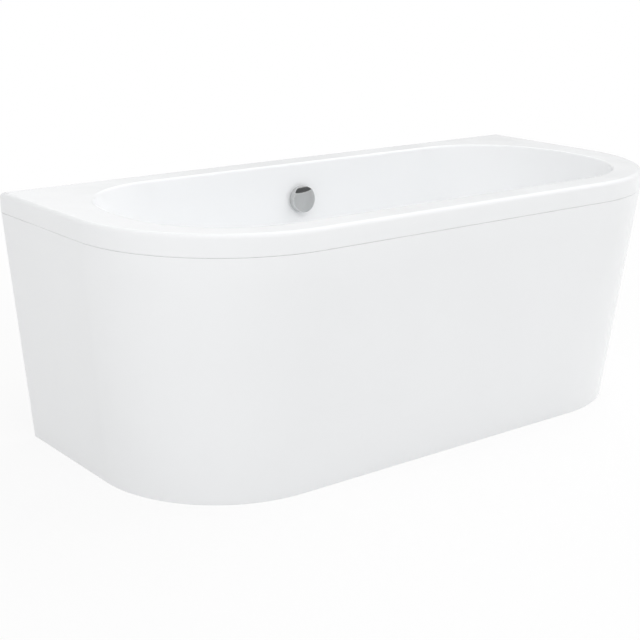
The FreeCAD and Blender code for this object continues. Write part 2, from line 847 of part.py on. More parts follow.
def overflow_hose():
    """Plain cuffs, with trapezoid ribs between them, round a smooth bore."""
    run = hose_run()
    total = run_length(run)
    plain = hose_cuff
    ribs = int((total - 2 * plain) / hose_pitch)
    pitch = (total - 2 * plain) / ribs
    wires = [circle_at(run, 0, hose_cuff), circle_at(run, plain, hose_cuff)]
    for i in range(ribs):
        for share, diameter in hose_rib:
            wires.append(circle_at(run, plain + (i + share) * pitch, diameter))
    wires.append(circle_at(run, total - plain, hose_cuff))
    wires.append(circle_at(run, total, hose_cuff))
    return Part.makeLoft(wires, True, True).cut(tube_along(run, hose_bore))


def hose_nut(along, facing):
    """Fluted union nut over a spigot, with a lip round the hose's cuff; facing points off the spigot."""
    wide = spigot_diameter + 2 * thread_clearance
    body = rod(hose_nut_diameter, hose_nut_lip - hose_nut_length, hose_nut_lip)
    body = body.cut(rod(wide, hose_nut_lip - hose_nut_length - overlap, 0))
    body = body.cut(rod(cuff_bore, -overlap, hose_nut_lip + overlap))
    flutes = []
    for i in range(hose_nut_flutes):
        angle = math.radians(360 * i / hose_nut_flutes)
        middle = hose_nut_diameter / 2 + flute_depth
        flutes.append(rod(4 * flute_depth, -hose_nut_length, 2 * hose_nut_lip,
                          middle * math.cos(angle), middle * math.sin(angle)))
    body = body.cut(group(flutes))
    body.Placement = run_frame(hose_run(), along)
    if facing < 0:
        half_turn = FreeCAD.Placement(V(0, 0, 0), FreeCAD.Rotation(V(1, 0, 0), 180))
        body.Placement = body.Placement.multiply(half_turn)
    return body


def hose_nuts():
    total = run_length(hose_run())
    return group([hose_nut(socket_depth, 1), hose_nut(total - socket_depth, -1)])


def cable_run():
    end_y = waste_y + cable_boss_length / 2
    return bent_run(cable_offset, cable_z, cable_boss_low, end_y, cable_bend)


def control_cable():
    return tube_along(cable_run(), cable_diameter)


def cable_ferrules():
    run = cable_run()
    sleeves = []
    for along in (0, run_length(run) - ferrule_length):
        sleeve = ring(ferrule_diameter, cable_diameter, 0, ferrule_length)
        sleeve.Placement = run_frame(run, along)
        sleeves.append(sleeve)
    return group(sleeves)


def cable_clips():
    """Figure-of-eight straps that tie the cable to the hose."""
    hose = hose_run()
    upper = (hose["first"] - hose["start"]).Length
    shift = V(cable_offset, cable_z - spigot_set, 0)
    straps = []
    for share in cable_clips_at:
        around = hose_crest + 2 * clip_play
        large = rod(around + 2 * clip_ring, 0, clip_band)
        small = rod(cable_bore + 2 * clip_ring, 0, clip_band, shift.x, -shift.y)
        web = box(0, shift.Length, -clip_ring, clip_ring, 0, clip_band)
        web.rotate(V(0, 0, 0), V(0, 0, 1), math.degrees(math.atan2(-shift.y, shift.x)))
        strap = joined([large, small, web])
        strap = strap.cut(rod(around, -overlap, clip_band + overlap))
        strap = strap.cut(rod(cable_bore, -overlap, clip_band + overlap, shift.x, -shift.y))
        strap.Placement = run_frame(hose, upper * share)
        straps.append(strap)
    return group(straps)


# Waste

flange_low = floor_top - recess_depth + flange_seal_thickness
flange_high = flange_low + waste_flange_thickness
throat_low = flange_low - throat_length
body_top = floor_under - gasket_thickness
body_low = body_top - waste_body_depth
tail_low = body_low - tail_length
plug_under = flange_high + plug_stand


def waste_flange():
    outer = waste_flange_diameter / 2
    throat = throat_diameter / 2
    edge = waste_flange_thickness / 2
    flange = turned([
        (outer, flange_low), (outer, flange_high - edge), (outer - edge, flange_high),
        (seat_diameter / 2, flange_high), (throat, flange_high - seat_depth), (throat, throat_low),
        (throat + throat_wall, throat_low), (throat + throat_wall, flange_low)])
    low = throat_low + bush_set
    bush = rod(bush_diameter, low, low + bush_depth)
    cross = joined([bush] + spokes(bush_diameter / 4, throat + throat_wall / 2, low, low + bush_depth))
    cross = cross.cut(rod(stem_diameter + 2 * stem_clearance, low - overlap, low + bush_depth + overlap))
    flange = joined([flange, cross])
    flange.translate(V(0, waste_y, 0))
    return flange


def flange_seal():
    return ring(waste_flange_diameter - 2 * flange_seal_thickness, waste_hole + 2 * flange_seal_thickness,
                flange_low - flange_seal_thickness, flange_low, 0, waste_y)


def waste_gasket():
    return ring(waste_gasket_diameter, waste_hole, body_top, floor_under, 0, waste_y)


def waste_body():
    bore = throat_diameter + 2 * throat_wall + 2 * thread_clearance
    spigot_end = waste_y + waste_body_diameter / 2 + spigot_length
    boss_end = waste_y + cable_boss_length / 2
    body = joined([
        rod(waste_body_flange, body_top - waste_body_thickness, body_top, 0, waste_y),
        rod(waste_body_diameter, body_low, body_top, 0, waste_y),
        rod(tail_diameter, tail_low, body_low + overlap, 0, waste_y),
        rod_along_y(spigot_diameter, waste_y, spigot_end, 0, inlet_z),
        rod_along_y(cable_boss, waste_y - cable_boss_length / 2, boss_end, cable_offset, inlet_z)])
    cuts = rod(bore, body_low + waste_floor, body_top + overlap, 0, waste_y)
    tail_bore = tail_diameter - 2 * tail_wall
    cuts = cuts.fuse(rod(tail_bore, tail_low - overlap, body_low + 2 * waste_floor, 0, waste_y))
    cuts = cuts.fuse(rod_along_y(spigot_bore, waste_y, spigot_end, 0, inlet_z))
    cuts = cuts.fuse(rod_along_y(cuff_bore, spigot_end - socket_depth, spigot_end + overlap, 0, inlet_z))
    cuts = cuts.fuse(rod_along_y(cable_bore, waste_y, boss_end + overlap, cable_offset, inlet_z))
    return body.cut(cuts)


def pop_up_plug():
    plug = crowned(plug_diameter, plug_under, plug_under + plug_edge + plug_crown, plug_crown)
    plug = plug.cut(rod(stem_diameter + 2 * socket_clearance, plug_under - overlap, plug_under + stem_grip))
    plug.translate(V(0, waste_y, 0))
    return plug


def plug_seal():
    throat = throat_diameter / 2
    outer = plug_seal_diameter / 2
    low = flange_high - seat_depth + plug_seal_gap
    shoulder = low + seat_depth * (outer - throat) / (seat_diameter / 2 - throat)
    bore = stem_diameter / 2 + socket_clearance
    return turned([(bore, low), (throat, low), (outer, shoulder), (outer, plug_under), (bore, plug_under)],
                  0, waste_y)


def plug_stem():
    return rod(stem_diameter, plug_under - stem_length, plug_under + stem_grip, 0, waste_y)


# Trap

washer_low = tail_low - trap_washer_thickness
neck_flange_low = washer_low - trap_flange_thickness
cup_top = neck_flange_low - trap_neck_length
cup_low = cup_top - cup_height
outlet_z = cup_low + outlet_rise
outlet_start = waste_y + cup_diameter / 2 - cup_wall
socket_start = outlet_start + outlet_neck
socket_end = socket_start + socket_length


def trap_washer():
    return ring(trap_neck_flange, trap_neck, washer_low, tail_low, 0, waste_y)


def trap_nut():
    low = neck_flange_low - trap_nut_lip
    wide = tail_diameter + 2 * thread_clearance
    narrow = trap_neck + 2 * thread_clearance
    high = low + trap_nut_height
    body = hexagon(trap_nut_across, low, high, 0, waste_y)
    body = body.common(rod(trap_nut_corner, low, high, 0, waste_y))
    body = body.cut(rod(wide, neck_flange_low, high + overlap, 0, waste_y))
    return body.cut(rod(narrow, low - overlap, neck_flange_low + overlap, 0, waste_y))


def trap_body():
    socket_outer = socket_bore + 2 * socket_wall
    outside = joined([
        rod(cup_diameter, cup_low, cup_top, 0, waste_y),
        rod_along_y(outlet_diameter, waste_y, socket_start + overlap, 0, outlet_z),
        rod_along_y(socket_outer, socket_start, socket_end, 0, outlet_z)])
    inside = rod(cup_diameter - 2 * cup_wall, cup_low + cup_wall, cup_top - cup_wall, 0, waste_y)
    outlet_bore = outlet_diameter - 2 * outlet_wall
    inside = inside.fuse(rod_along_y(outlet_bore, waste_y, socket_end, 0, outlet_z))
    socket_seat = socket_start + cup_wall
    inside = inside.fuse(rod_along_y(socket_bore, socket_seat, socket_end + overlap, 0, outlet_z))
    inside = inside.fuse(rod(cleanout_hole, cup_low - overlap, cup_low + 2 * cup_wall, 0, waste_y))
    dip_low = cup_top - dip_length
    neck = joined([
        rod(trap_neck, dip_low, neck_flange_low + overlap, 0, waste_y),
        rod(trap_neck_flange, neck_flange_low, washer_low, 0, waste_y)])
    neck_bore = trap_neck - 2 * trap_neck_wall
    passage = rod(neck_bore, dip_low - overlap, washer_low + overlap, 0, waste_y)
    return joined([outside.cut(inside), neck]).cut(passage)


def cleanout_cap():
    plug = cleanout_hole - 2 * cleanout_clearance
    low = cup_low - cleanout_thickness
    bar = box(-cleanout_flange / 2 + cleanout_bar, cleanout_flange / 2 - cleanout_bar,
              waste_y - cleanout_bar / 2, waste_y + cleanout_bar / 2, low - cleanout_bar / 2, low + overlap)
    return joined([
        rod(cleanout_flange, low, cup_low, 0, waste_y),
        rod(plug, low, cup_low + cleanout_plug, 0, waste_y),
        bar])


def outlet_seal():
    seal = ring(socket_bore + 2 * socket_wall, socket_bore + 2 * thread_clearance, 0, outlet_seal_thickness)
    seal.Placement = FreeCAD.Placement(V(0, socket_end, outlet_z), FreeCAD.Rotation(V(1, 0, 0), -90))
    return seal


def outlet_nut():
    wide = socket_bore + 2 * socket_wall + 2 * thread_clearance
    outer = wide + 2 * outlet_nut_wall
    lip = outlet_seal_thickness
    end = lip + outlet_nut_lip
    body = rod(outer, end - outlet_nut_length, end)
    body = body.cut(rod(wide, end - outlet_nut_length - overlap, lip))
    body = body.cut(rod(socket_bore + 4 * thread_clearance, -overlap, end + overlap))
    flutes = []
    for i in range(hose_nut_flutes):
        angle = math.radians(360 * (i + 0.5) / hose_nut_flutes)
        middle = outer / 2 + flute_depth
        flutes.append(rod(4 * flute_depth, -outlet_nut_length, 2 * outlet_nut_length,
                          middle * math.cos(angle), middle * math.sin(angle)))
    body = body.cut(group(flutes))
    body.Placement = FreeCAD.Placement(V(0, socket_end, outlet_z), FreeCAD.Rotation(V(1, 0, 0), -90))
    return body


# Every piece by its name

batten_front = -width / 2 + batten_setback
batten_half = length / 2 - corner_radius - batten_end_gap
batten_back = width / 2 - batten_setback
batten_end = length / 2 - batten_setback
back_half = length / 2 - deck_end - batten_end_gap
end_front = -width / 2 + corner_radius + batten_end_gap
end_back = batten_back - batten_end_gap

nodes = {
    "bath_shell": bath_shell(),
    "base_board": base_board(),
    "rim_batten_front": drilled(
        rim_batten(-batten_half, batten_half, batten_front, batten_front + batten_width),
        clip_screw_places()),
    "rim_batten_back": rim_batten(-back_half, back_half, batten_back - batten_width, batten_back),
    "rim_batten_left": drilled(
        rim_batten(-batten_end, -batten_end + batten_width, end_front, end_back), clip_screw_places()),
    "rim_batten_right": drilled(
        rim_batten(batten_end - batten_width, batten_end, end_front, end_back), clip_screw_places()),
    "leg_channel_left": leg_channel(-1),
    "leg_channel_right": leg_channel(1),
    "centre_foot_plate": centre_foot_plate(),
    "foot_nuts": foot_nuts(),
    "frame_screws": frame_screws(),
    "wrap_panel": wrap_panel(),
    "panel_clips": panel_clips(),
    "clip_screws": clip_screws(),
    "panel_brackets": panel_brackets(),
    "wall_bracket_left": wall_bracket(-1),
    "wall_bracket_right": wall_bracket(1),
    "overflow_rosette": overflow_rosette(),
    "overflow_gasket": overflow_gasket(),
    "overflow_elbow": overflow_elbow(),
    "overflow_knob": overflow_knob(),
    "knob_spindle": knob_spindle(),
    "cable_drum": cable_drum(),
    "overflow_hose": overflow_hose(),
    "hose_nuts": hose_nuts(),
    "control_cable": control_cable(),
    "cable_ferrules": cable_ferrules(),
    "cable_clips": cable_clips(),
    "waste_flange": waste_flange(),
    "flange_seal": flange_seal(),
    "waste_gasket": waste_gasket(),
    "waste_body": waste_body(),
    "pop_up_plug": pop_up_plug(),
    "plug_seal": plug_seal(),
    "plug_stem": plug_stem(),
    "trap_washer": trap_washer(),
    "trap_nut": trap_nut(),
    "trap_body": trap_body(),
    "cleanout_cap": cleanout_cap(),
    "outlet_seal": outlet_seal(),
    "outlet_nut": outlet_nut()}
for place in foot_places:
    nodes["foot_stud_" + place] = foot_stud(place)
    nodes["foot_pad_" + place] = foot_pad(place)

os.makedirs("parts", exist_ok=True)
for name, shape in nodes.items():
    shape.exportStep("parts/" + name + ".step")
    print(name, len(shape.Solids), shape.isValid(), round(shape.Volume / 1000, 2), "cm3")
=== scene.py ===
import math

import bmesh
import bpy
from mathutils import Matrix, Vector


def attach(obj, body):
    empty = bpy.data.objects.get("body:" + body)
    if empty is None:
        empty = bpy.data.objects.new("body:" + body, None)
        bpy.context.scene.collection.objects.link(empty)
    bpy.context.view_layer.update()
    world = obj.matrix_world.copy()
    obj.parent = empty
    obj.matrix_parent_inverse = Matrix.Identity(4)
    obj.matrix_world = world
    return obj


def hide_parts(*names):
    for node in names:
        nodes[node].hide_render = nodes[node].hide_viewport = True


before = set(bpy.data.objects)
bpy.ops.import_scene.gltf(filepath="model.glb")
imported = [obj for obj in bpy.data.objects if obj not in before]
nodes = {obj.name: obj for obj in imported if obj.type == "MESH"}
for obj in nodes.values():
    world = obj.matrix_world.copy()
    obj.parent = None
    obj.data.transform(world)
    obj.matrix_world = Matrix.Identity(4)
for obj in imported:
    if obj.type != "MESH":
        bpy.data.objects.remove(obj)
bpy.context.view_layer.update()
mm = 0.001  # lengths below are millimetres, the scene is in metres
quarter = math.pi / 2
hexSides, hexCorner = 6, 1 / math.sqrt(3)  # corner radius over the width across flats
up = Vector((0, 0, 1))
print("frame loaded:", len(nodes), "CAD nodes")


# Small tools

def linear(hexCode):  # sRGB hex to linear colour
    parts = [int(hexCode[i:i + 2], 16) / 255 for i in (1, 3, 5)]
    return [c / 12.92 if c <= 0.04045 else ((c + 0.055) / 1.055) ** 2.4 for c in parts] + [1.0]


def perMm(size):  # texture scale for a pattern of that size in millimetres
    return 1 / (size * mm)


def addNode(tree, kind, sockets=None, links=None, **settings):
    node = tree.nodes.new(kind)
    for name, value in settings.items():
        setattr(node, name, value)
    for socket, value in (sockets or {}).items():
        node.inputs[socket].default_value = value
    for socket, source in (links or {}).items():
        for one in source if isinstance(source, tuple) else (source,):
            tree.links.new(one, node.inputs[socket])
    return node


def addStep(tree, kind, sockets=None, links=None, **settings):  # a node's first output
    return addNode(tree, kind, sockets, links, **settings).outputs[0]


def sortTerms(terms):  # numbers to set and outputs to link, by socket
    numbers = {i: term for i, term in enumerate(terms) if isinstance(term, (int, float))}
    return numbers, {i: term for i, term in enumerate(terms) if i not in numbers}


def calc(tree, operation, *terms):
    return addStep(tree, "ShaderNodeMath", *sortTerms(terms), operation=operation)


def vector(tree, *parts):
    return addStep(tree, "ShaderNodeCombineXYZ", *sortTerms(parts))


def spread(tree, value, low, high, start=0.35, end=0.65):  # by default from where noise mostly lies
    return addStep(tree, "ShaderNodeMapRange", {1: start, 2: end, 3: low, 4: high}, {0: value})


# Materials

def startMaterial(name, roughness, metallic=0.0, ior=1.5):
    material = bpy.data.materials.new(name)
    material.use_nodes = True
    tree = material.node_tree
    shader = tree.nodes["Principled BSDF"]
    shader.inputs["Roughness"].default_value = roughness
    shader.inputs["Metallic"].default_value = metallic
    if not metallic:
        shader.inputs["IOR"].default_value = ior
    place = addNode(tree, "ShaderNodeTexCoord").outputs["Object"]
    return material, tree, shader, place


def blendTones(tree, shader, share, first, second):
    mixed = addNode(tree, "ShaderNodeMix", {6: linear(first), 7: linear(second)}, {0: share},
                    data_type="RGBA")
    tree.links.new(mixed.outputs[2], shader.inputs["Base Color"])


def varyGloss(tree, shader, *spreadOver):
    tree.links.new(spread(tree, *spreadOver), shader.inputs["Roughness"])


def addBump(tree, shader, heights, deepMm):
    bump = addStep(tree, "ShaderNodeBump", {"Strength": 1.0, "Distance": deepMm * mm},
                   {"Height": heights})
    tree.links.new(bump, shader.inputs["Normal"])


def noise(tree, place, scale, detail=2.0, distortion=0.0):
    sockets = {"Scale": scale, "Detail": detail, "Distortion": distortion}
    return addNode(tree, "ShaderNodeTexNoise", sockets, {"Vector": place}).outputs["Fac"]


def stretchedNoise(tree, place, turn, sizes, **settings):  # turned by degrees, sizes in millimetres
    sockets = {"Rotation": [math.radians(a) for a in turn], "Scale": [perMm(size) for size in sizes]}
    return noise(tree, addStep(tree, "ShaderNodeMapping", sockets, {"Vector": place}), 1.0, **settings)


def cells(tree, place, sizeMm):  # three random values for each flat cell
    pattern = addNode(tree, "ShaderNodeTexVoronoi", {"Scale": perMm(sizeMm)}, {"Vector": place})
    return addNode(tree, "ShaderNodeSeparateColor", links={0: pattern.outputs["Color"]}).outputs


def castAcrylic():
    # vacuum-formed acrylic sheet: clean white and glossy, with the long soft ripple of a formed sheet
    look = {"white": "#FBFCFD", "shade": "#F8F9FA", "cloudMm": 260, "rippleMm": 90, "rippleDeepMm": 0.05,
            "smooth": 0.19, "dull": 0.25, "wipeMm": 120, "ior": 1.49}
    material, tree, shader, place = startMaterial("castAcrylic", look["smooth"], ior=look["ior"])
    cloud = noise(tree, place, perMm(look["cloudMm"]))
    wipe = noise(tree, place, perMm(look["wipeMm"]), detail=4.0)
    ripple = noise(tree, place, perMm(look["rippleMm"]), detail=1.0)
    blendTones(tree, shader, cloud, look["white"], look["shade"])
    varyGloss(tree, shader, wipe, look["smooth"], look["dull"])
    addBump(tree, shader, ripple, look["rippleDeepMm"])
    return material


def glassFibreLaminate():
    # chopped glass strands rolled into resin: dull cream with short pale strands lying every way
    look = {"resin": "#CFC9B4", "strand": "#E6E2D4", "longMm": 30, "thinMm": 1.6, "deepMm": 0.35,
            "turns": ((35, 20, 0), (-40, 65, 30), (80, -15, 70)), "shows": (0.52, 0.7),
            "dull": 0.55, "ior": 1.55}
    material, tree, shader, place = startMaterial("glassFibreLaminate", look["dull"], ior=look["ior"])
    sizes = (look["longMm"], look["thinMm"], look["thinMm"])
    first, second, third = (stretchedNoise(tree, place, turn, sizes, detail=1.0)
                            for turn in look["turns"])
    strands = calc(tree, "MAXIMUM", calc(tree, "MAXIMUM", first, second), third)
    seen = spread(tree, strands, 0.0, 1.0, *look["shows"])
    blendTones(tree, shader, seen, look["resin"], look["strand"])
    addBump(tree, shader, seen, look["deepMm"])
    return material


def sawnPine(name, alongX):
    # sawn and planed softwood: straw colour, darker summer rings along the length, open pores
    look = {"spring": "#D9B98A", "summer": "#B98C57", "waveMm": 160, "ringMm": 7, "layerMm": 14,
            "poreLongMm": 24, "poreMm": 1.2, "deepMm": 0.15, "shows": (0.4, 0.62), "dull": 0.62}
    material, tree, shader, place = startMaterial(name, look["dull"])
    turn = (0, 0, 0 if alongX else 90)
    rings = stretchedNoise(tree, place, turn, (look["waveMm"], look["ringMm"], look["layerMm"]),
                           detail=3.0, distortion=0.4)
    pores = stretchedNoise(tree, place, turn, (look["poreLongMm"], look["poreMm"], look["poreMm"]))
    seen = spread(tree, rings, 0.0, 1.0, *look["shows"])
    blendTones(tree, shader, seen, look["spring"], look["summer"])
    addBump(tree, shader, pores, look["deepMm"])
    return material


def chipboard():
    # pressed wood chips: a mosaic of straw and brown flakes, dull and slightly rough
    look = {"pale": "#D8BC8E", "brown": "#A47E50", "flakeMm": 4, "deepMm": 0.2, "dull": 0.75}
    material, tree, shader, place = startMaterial("chipboard", look["dull"])
    flake = cells(tree, place, look["flakeMm"])
    blendTones(tree, shader, flake[0], look["pale"], look["brown"])
    addBump(tree, shader, flake[1], look["deepMm"])
    return material


def galvanisedSteel():
    # hot-dipped sheet: cool grey with large zinc crystals that differ in brightness and gloss
    look = {"pale": "#C2C6CA", "grey": "#A4A9AE", "crystalMm": 11, "gloss": 0.3, "dull": 0.5}
    material, tree, shader, place = startMaterial("galvanisedSteel", look["gloss"], 1.0)
    crystal = cells(tree, place, look["crystalMm"])
    blendTones(tree, shader, crystal[0], look["pale"], look["grey"])
    varyGloss(tree, shader, crystal[1], look["gloss"], look["dull"], 0, 1)
    return material


def evenFinish(name, tones, roughness, grainMm, deepMm, metallic=0.0):
    # one family of even surfaces: two close tones, uneven gloss and a fine grain
    grainsPerCloud = 12
    material, tree, shader, place = startMaterial(name, roughness[0], metallic)
    cloud = noise(tree, place, perMm(grainMm * grainsPerCloud), detail=4.0)
    blendTones(tree, shader, cloud, *tones)
    varyGloss(tree, shader, cloud, *roughness)
    addBump(tree, shader, noise(tree, place, perMm(grainMm)), deepMm)
    return material


finishes = {
    "acrylic": castAcrylic(),
    "laminate": glassFibreLaminate(),
    "pineAlong": sawnPine("sawnPineAlong", True),
    "pineAcross": sawnPine("sawnPineAcross", False),
    "chipboard": chipboard(),
    "galvanised": galvanisedSteel(),
    # bright plating, mirror smooth, with faint wiping marks
    "chrome": evenFinish("chromePlatedBrass", ("#CFD0D0", "#C9CACA"), (0.02, 0.05), 6, 0.002, 1.0),
    # thin bluish plating on steel, silky
    "zinc": evenFinish("zincPlatedSteel", ("#C4C8CC", "#AFB3B6"), (0.28, 0.42), 1.5, 0.01, 1.0),
    # turned brass, warm and softly shiny
    "brass": evenFinish("turnedBrass", ("#C9A45C", "#B48F4A"), (0.28, 0.36), 1.0, 0.01, 1.0),
    # moulded nitrile rubber, near black and dull
    "rubber": evenFinish("nitrileRubber", ("#242425", "#1C1C1D"), (0.62, 0.78), 0.8, 0.03),
    # moulded polypropylene, waxy off-white
    "whitePlastic": evenFinish("mouldedPolypropylene", ("#E9E9E5", "#E1E1DC"), (0.38, 0.5), 1.2, 0.02),
    # corrugated PVC, plain grey
    "greyPlastic": evenFinish("greyPvc", ("#A4A7A9", "#979A9C"), (0.42, 0.55), 1.5, 0.03),
    # glass-filled nylon, charcoal with a fine grain
    "blackPlastic": evenFinish("blackNylon", ("#2A2B2D", "#212224"), (0.4, 0.56), 0.9, 0.03)}

footPlaces = ("front_left", "front_right", "back_left", "back_right", "centre")
finishOf = {
    "chipboard": ["base_board"],
    "pineAlong": ["rim_batten_front", "rim_batten_back"],
    "pineAcross": ["rim_batten_left", "rim_batten_right"],
    "galvanised": ["leg_channel_left", "leg_channel_right", "centre_foot_plate", "panel_clips",
                   "panel_brackets", "wall_bracket_left", "wall_bracket_right"],
    "zinc": ["foot_nuts", "frame_screws", "clip_screws", "cable_ferrules"]
    + ["foot_stud_" + place for place in footPlaces],
    "chrome": ["overflow_rosette", "overflow_knob", "waste_flange", "pop_up_plug"],
    "brass": ["knob_spindle", "plug_stem"],
    "rubber": ["overflow_gasket", "flange_seal", "waste_gasket", "plug_seal", "trap_washer",
               "outlet_seal"],
    "whitePlastic": ["overflow_elbow", "hose_nuts", "waste_body", "trap_nut", "trap_body",
                     "cleanout_cap", "outlet_nut"],
    "greyPlastic": ["overflow_hose"],
    "blackPlastic": ["cable_drum", "control_cable", "cable_clips"]
    + ["foot_pad_" + place for place in footPlaces],
    "acrylic": ["bath_shell", "wrap_panel"]}
for finish, names in finishOf.items():
    for name in names:
        nodes[name].data.materials.clear()
        nodes[name].data.materials.append(finishes[finish])
print("materials:", len(finishes))


# Mesh tools

def addRing(bm, points):
    return [bm.verts.new(p) for p in points]


def skin(bm, first, second, finish=0, closed=True):  # quads between two lines of as many points
    for i in range(len(first) if closed else len(first) - 1):
        j = (i + 1) % len(first)
        bm.faces.new((first[i], first[j], second[j], second[i])).material_index = finish


def skinAll(bm, rings, finish=0, lining=0):  # the first strips can be laminate
    for i in range(len(rings) - 1):
        skin(bm, rings[i], rings[i + 1], 1 if i < lining else finish)


def fillBetween(bm, outer, inner, centre, across, along, finish):
    # flat fill between two loops round one centre, walked by angle
    def byAngle(loop):
        def angle(v):
            d = v.co - centre
            return math.atan2(d.dot(along), d.dot(across))
        return sorted(((angle(v), v) for v in loop), key=lambda pair: pair[0])
    a, b = byAngle(outer), byAngle(inner)
    i = j = 0
    while i < len(a) or j < len(b):
        nextA = a[(i + 1) % len(a)][0] + (2 * math.pi if i + 1 >= len(a) else 0)
        nextB = b[(j + 1) % len(b)][0] + (2 * math.pi if j + 1 >= len(b) else 0)
        va, vb = a[i % len(a)][1], b[j % len(b)][1]
        if j >= len(b) or (i < len(a) and nextA <= nextB):
            face = bm.faces.new((va, a[(i + 1) % len(a)][1], vb))
            i += 1
        else:
            face = bm.faces.new((va, b[(j + 1) % len(b)][1], vb))
            j += 1
        face.material_index = finish


def handOver(piece, body, node, sharpAngle=35):  # shading, then its place in the frame
    mesh = piece.data
    mesh.shade_smooth()
    mesh.set_sharp_from_angle(angle=math.radians(sharpAngle))
    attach(piece, body)
    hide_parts(node)
    print("piece", piece.name, len(mesh.polygons), "faces")


def makePiece(name, bm, body, node, materials):
    bmesh.ops.recalc_face_normals(bm, faces=bm.faces)
    bmesh.ops.scale(bm, vec=(mm, mm, mm), verts=bm.verts)
    mesh = bpy.data.meshes.new(name)
    bm.to_mesh(mesh)
    bm.free()
    for material in materials:
        mesh.materials.append(finishes[material])
    piece = bpy.data.objects.new(name, mesh)
    bpy.context.scene.collection.objects.link(piece)
    handOver(piece, body, node)


# Moulded shell

bath = {"length": 1500, "width": 700, "height": 575, "corner": 345, "wall": 6, "rimDrop": 45,
        "rimEdge": 10, "lipEdge": 1.0, "deckEnd": 86, "deckSide": 71, "depth": 410,
        "endDraft": math.radians(24), "sideDraft": math.radians(5),
        "mouthCorner": 42, "mouthFlat": 147, "floorCorner": 57, "floorFlat": 93,
        "mouthEdge": 7, "floorEdge": 70,
        "wasteY": 70, "recess": 76, "recessDepth": 2.5, "recessEdge": 1.0, "recessBend": 0.3,
        "wasteHole": 52, "overflowDrop": 88, "overflowHole": 54,
        # width of the flat strip kept beside an edge, and how far a hole's faces reach over its width
        "support": 3, "holeReach": 0.65}
steps = {"back": 30, "end": 8, "corner": 48, "front": 20, "side": 20, "ovalCorner": 28, "ovalEnd": 24,
         "edge": 8, "smallEdge": 3, "wall": 9, "floor": 14, "hole": 64}
overflowY = bath["width"] / 2 - bath["deckSide"] - bath["overflowDrop"] * math.tan(bath["sideDraft"])
overflowCentre = Vector((0, overflowY, bath["height"] - bath["overflowDrop"]))


def arcLine(x, y, radius, start, end, count):
    return [(x + radius * math.cos(start + (end - start) * i / count),
             y + radius * math.sin(start + (end - start) * i / count)) for i in range(count)]


def straightLine(a, b, count):
    return [(a[0] + (b[0] - a[0]) * i / count, a[1] + (b[1] - a[1]) * i / count) for i in range(count)]


def frontLine(half, back, front, radius):  # left end, rounded front, right end
    line = straightLine((-half, back), (-half, front + radius), steps["end"])
    line += arcLine(-half + radius, front + radius, radius, 2 * quarter, 3 * quarter, steps["corner"])
    line += straightLine((-half + radius, front), (half - radius, front), steps["front"])
    line += arcLine(half - radius, front + radius, radius, 3 * quarter, 4 * quarter, steps["corner"])
    line += straightLine((half, front + radius), (half, back), steps["end"])
    return line + [(half, back)]


def rimRing(inset, z):  # anticlockwise from above
    half, back = bath["length"] / 2 - inset, bath["width"] / 2 - inset
    line = frontLine(half, back, -bath["width"] / 2 + inset, bath["corner"] - inset)
    line += straightLine((half, back), (-half, back), steps["back"])[1:]
    return [Vector((x, y, z)) for x, y in line]


def topRound(radius, top, count):  # inset and level, up round a top edge
    turns = [quarter * i / count for i in range(count + 1)]
    return [(radius * (1 - math.cos(turn)), top - radius * (1 - math.sin(turn))) for turn in turns]


def ovalRing(halfLength, halfWidth, cornerCentre, endFlat):  # points with their headings
    corner, end = halfWidth - cornerCentre, halfWidth + endFlat
    endX = halfLength - end
    cornerX = endX + math.sqrt((end - corner) ** 2 - cornerCentre ** 2)
    turn = math.atan2(cornerCentre, cornerX - endX)
    stretch = [(x, y, 0.0) for x, y in
               straightLine((-cornerX, -halfWidth), (cornerX, -halfWidth), steps["side"])]
    for x, y, radius, start, stop, count in (
            (cornerX, -cornerCentre, corner, -quarter, -turn, steps["ovalCorner"]),
            (endX, 0, end, -turn, turn, steps["ovalEnd"]),
            (cornerX, cornerCentre, corner, turn, quarter, steps["ovalCorner"])):
        for i, (px, py) in enumerate(arcLine(x, y, radius, start, stop, count)):
            stretch.append((px, py, start + (stop - start) * i / count + quarter))
    return stretch + [(-x, -y, heading + math.pi) for x, y, heading in stretch]


def turnBetween(first, second, share):  # direction between two, on the round
    angle = first.angle(second)
    return (first * math.sin(angle * (1 - share)) + second * math.sin(angle * share)) / math.sin(angle)


def basinRings(grow, top, topEdge, floorEdge):
    # straight-sided wall between two ovals, rounded into the deck above and the floor below
    floor = bath["height"] - bath["depth"] - grow
    halfLength = bath["length"] / 2 - bath["deckEnd"] + grow
    halfWidth = bath["width"] / 2 - bath["deckSide"] + grow
    fall = bath["depth"] + grow
    mouth = ovalRing(halfLength, halfWidth, bath["mouthCorner"], bath["mouthFlat"])
    base = ovalRing(halfLength - fall * math.tan(bath["endDraft"]),
                    halfWidth - fall * math.tan(bath["sideDraft"]),
                    bath["floorCorner"], bath["floorFlat"])
    columns = []
    for (mx, my, mHeading), (bx, by, bHeading) in zip(mouth, base):
        low = Vector((bx, by, floor))
        rise = (Vector((mx, my, bath["height"])) - low).normalized()
        column = []
        inward = rise.cross(Vector((math.cos(mHeading), math.sin(mHeading), 0))).normalized()
        meet = low + rise * ((top - topEdge * (1 - inward.z) - floor) / rise.z)
        centre = meet - inward * topEdge
        for i in range(steps["edge"] + 1):
            column.append(centre + turnBetween(up, inward, i / steps["edge"]) * topEdge)
        inward = rise.cross(Vector((math.cos(bHeading), math.sin(bHeading), 0))).normalized()
        foot = low + rise * (floorEdge * (1 - inward.z) / rise.z)
        for i in range(1, steps["wall"]):
            column.append(meet.lerp(foot, i / steps["wall"]))
        centre = foot + inward * floorEdge
        for i in range(steps["floor"] + 1):
            column.append(centre + turnBetween(-inward, -up, i / steps["floor"]) * floorEdge)
        columns.append(column)
    return list(zip(*columns))


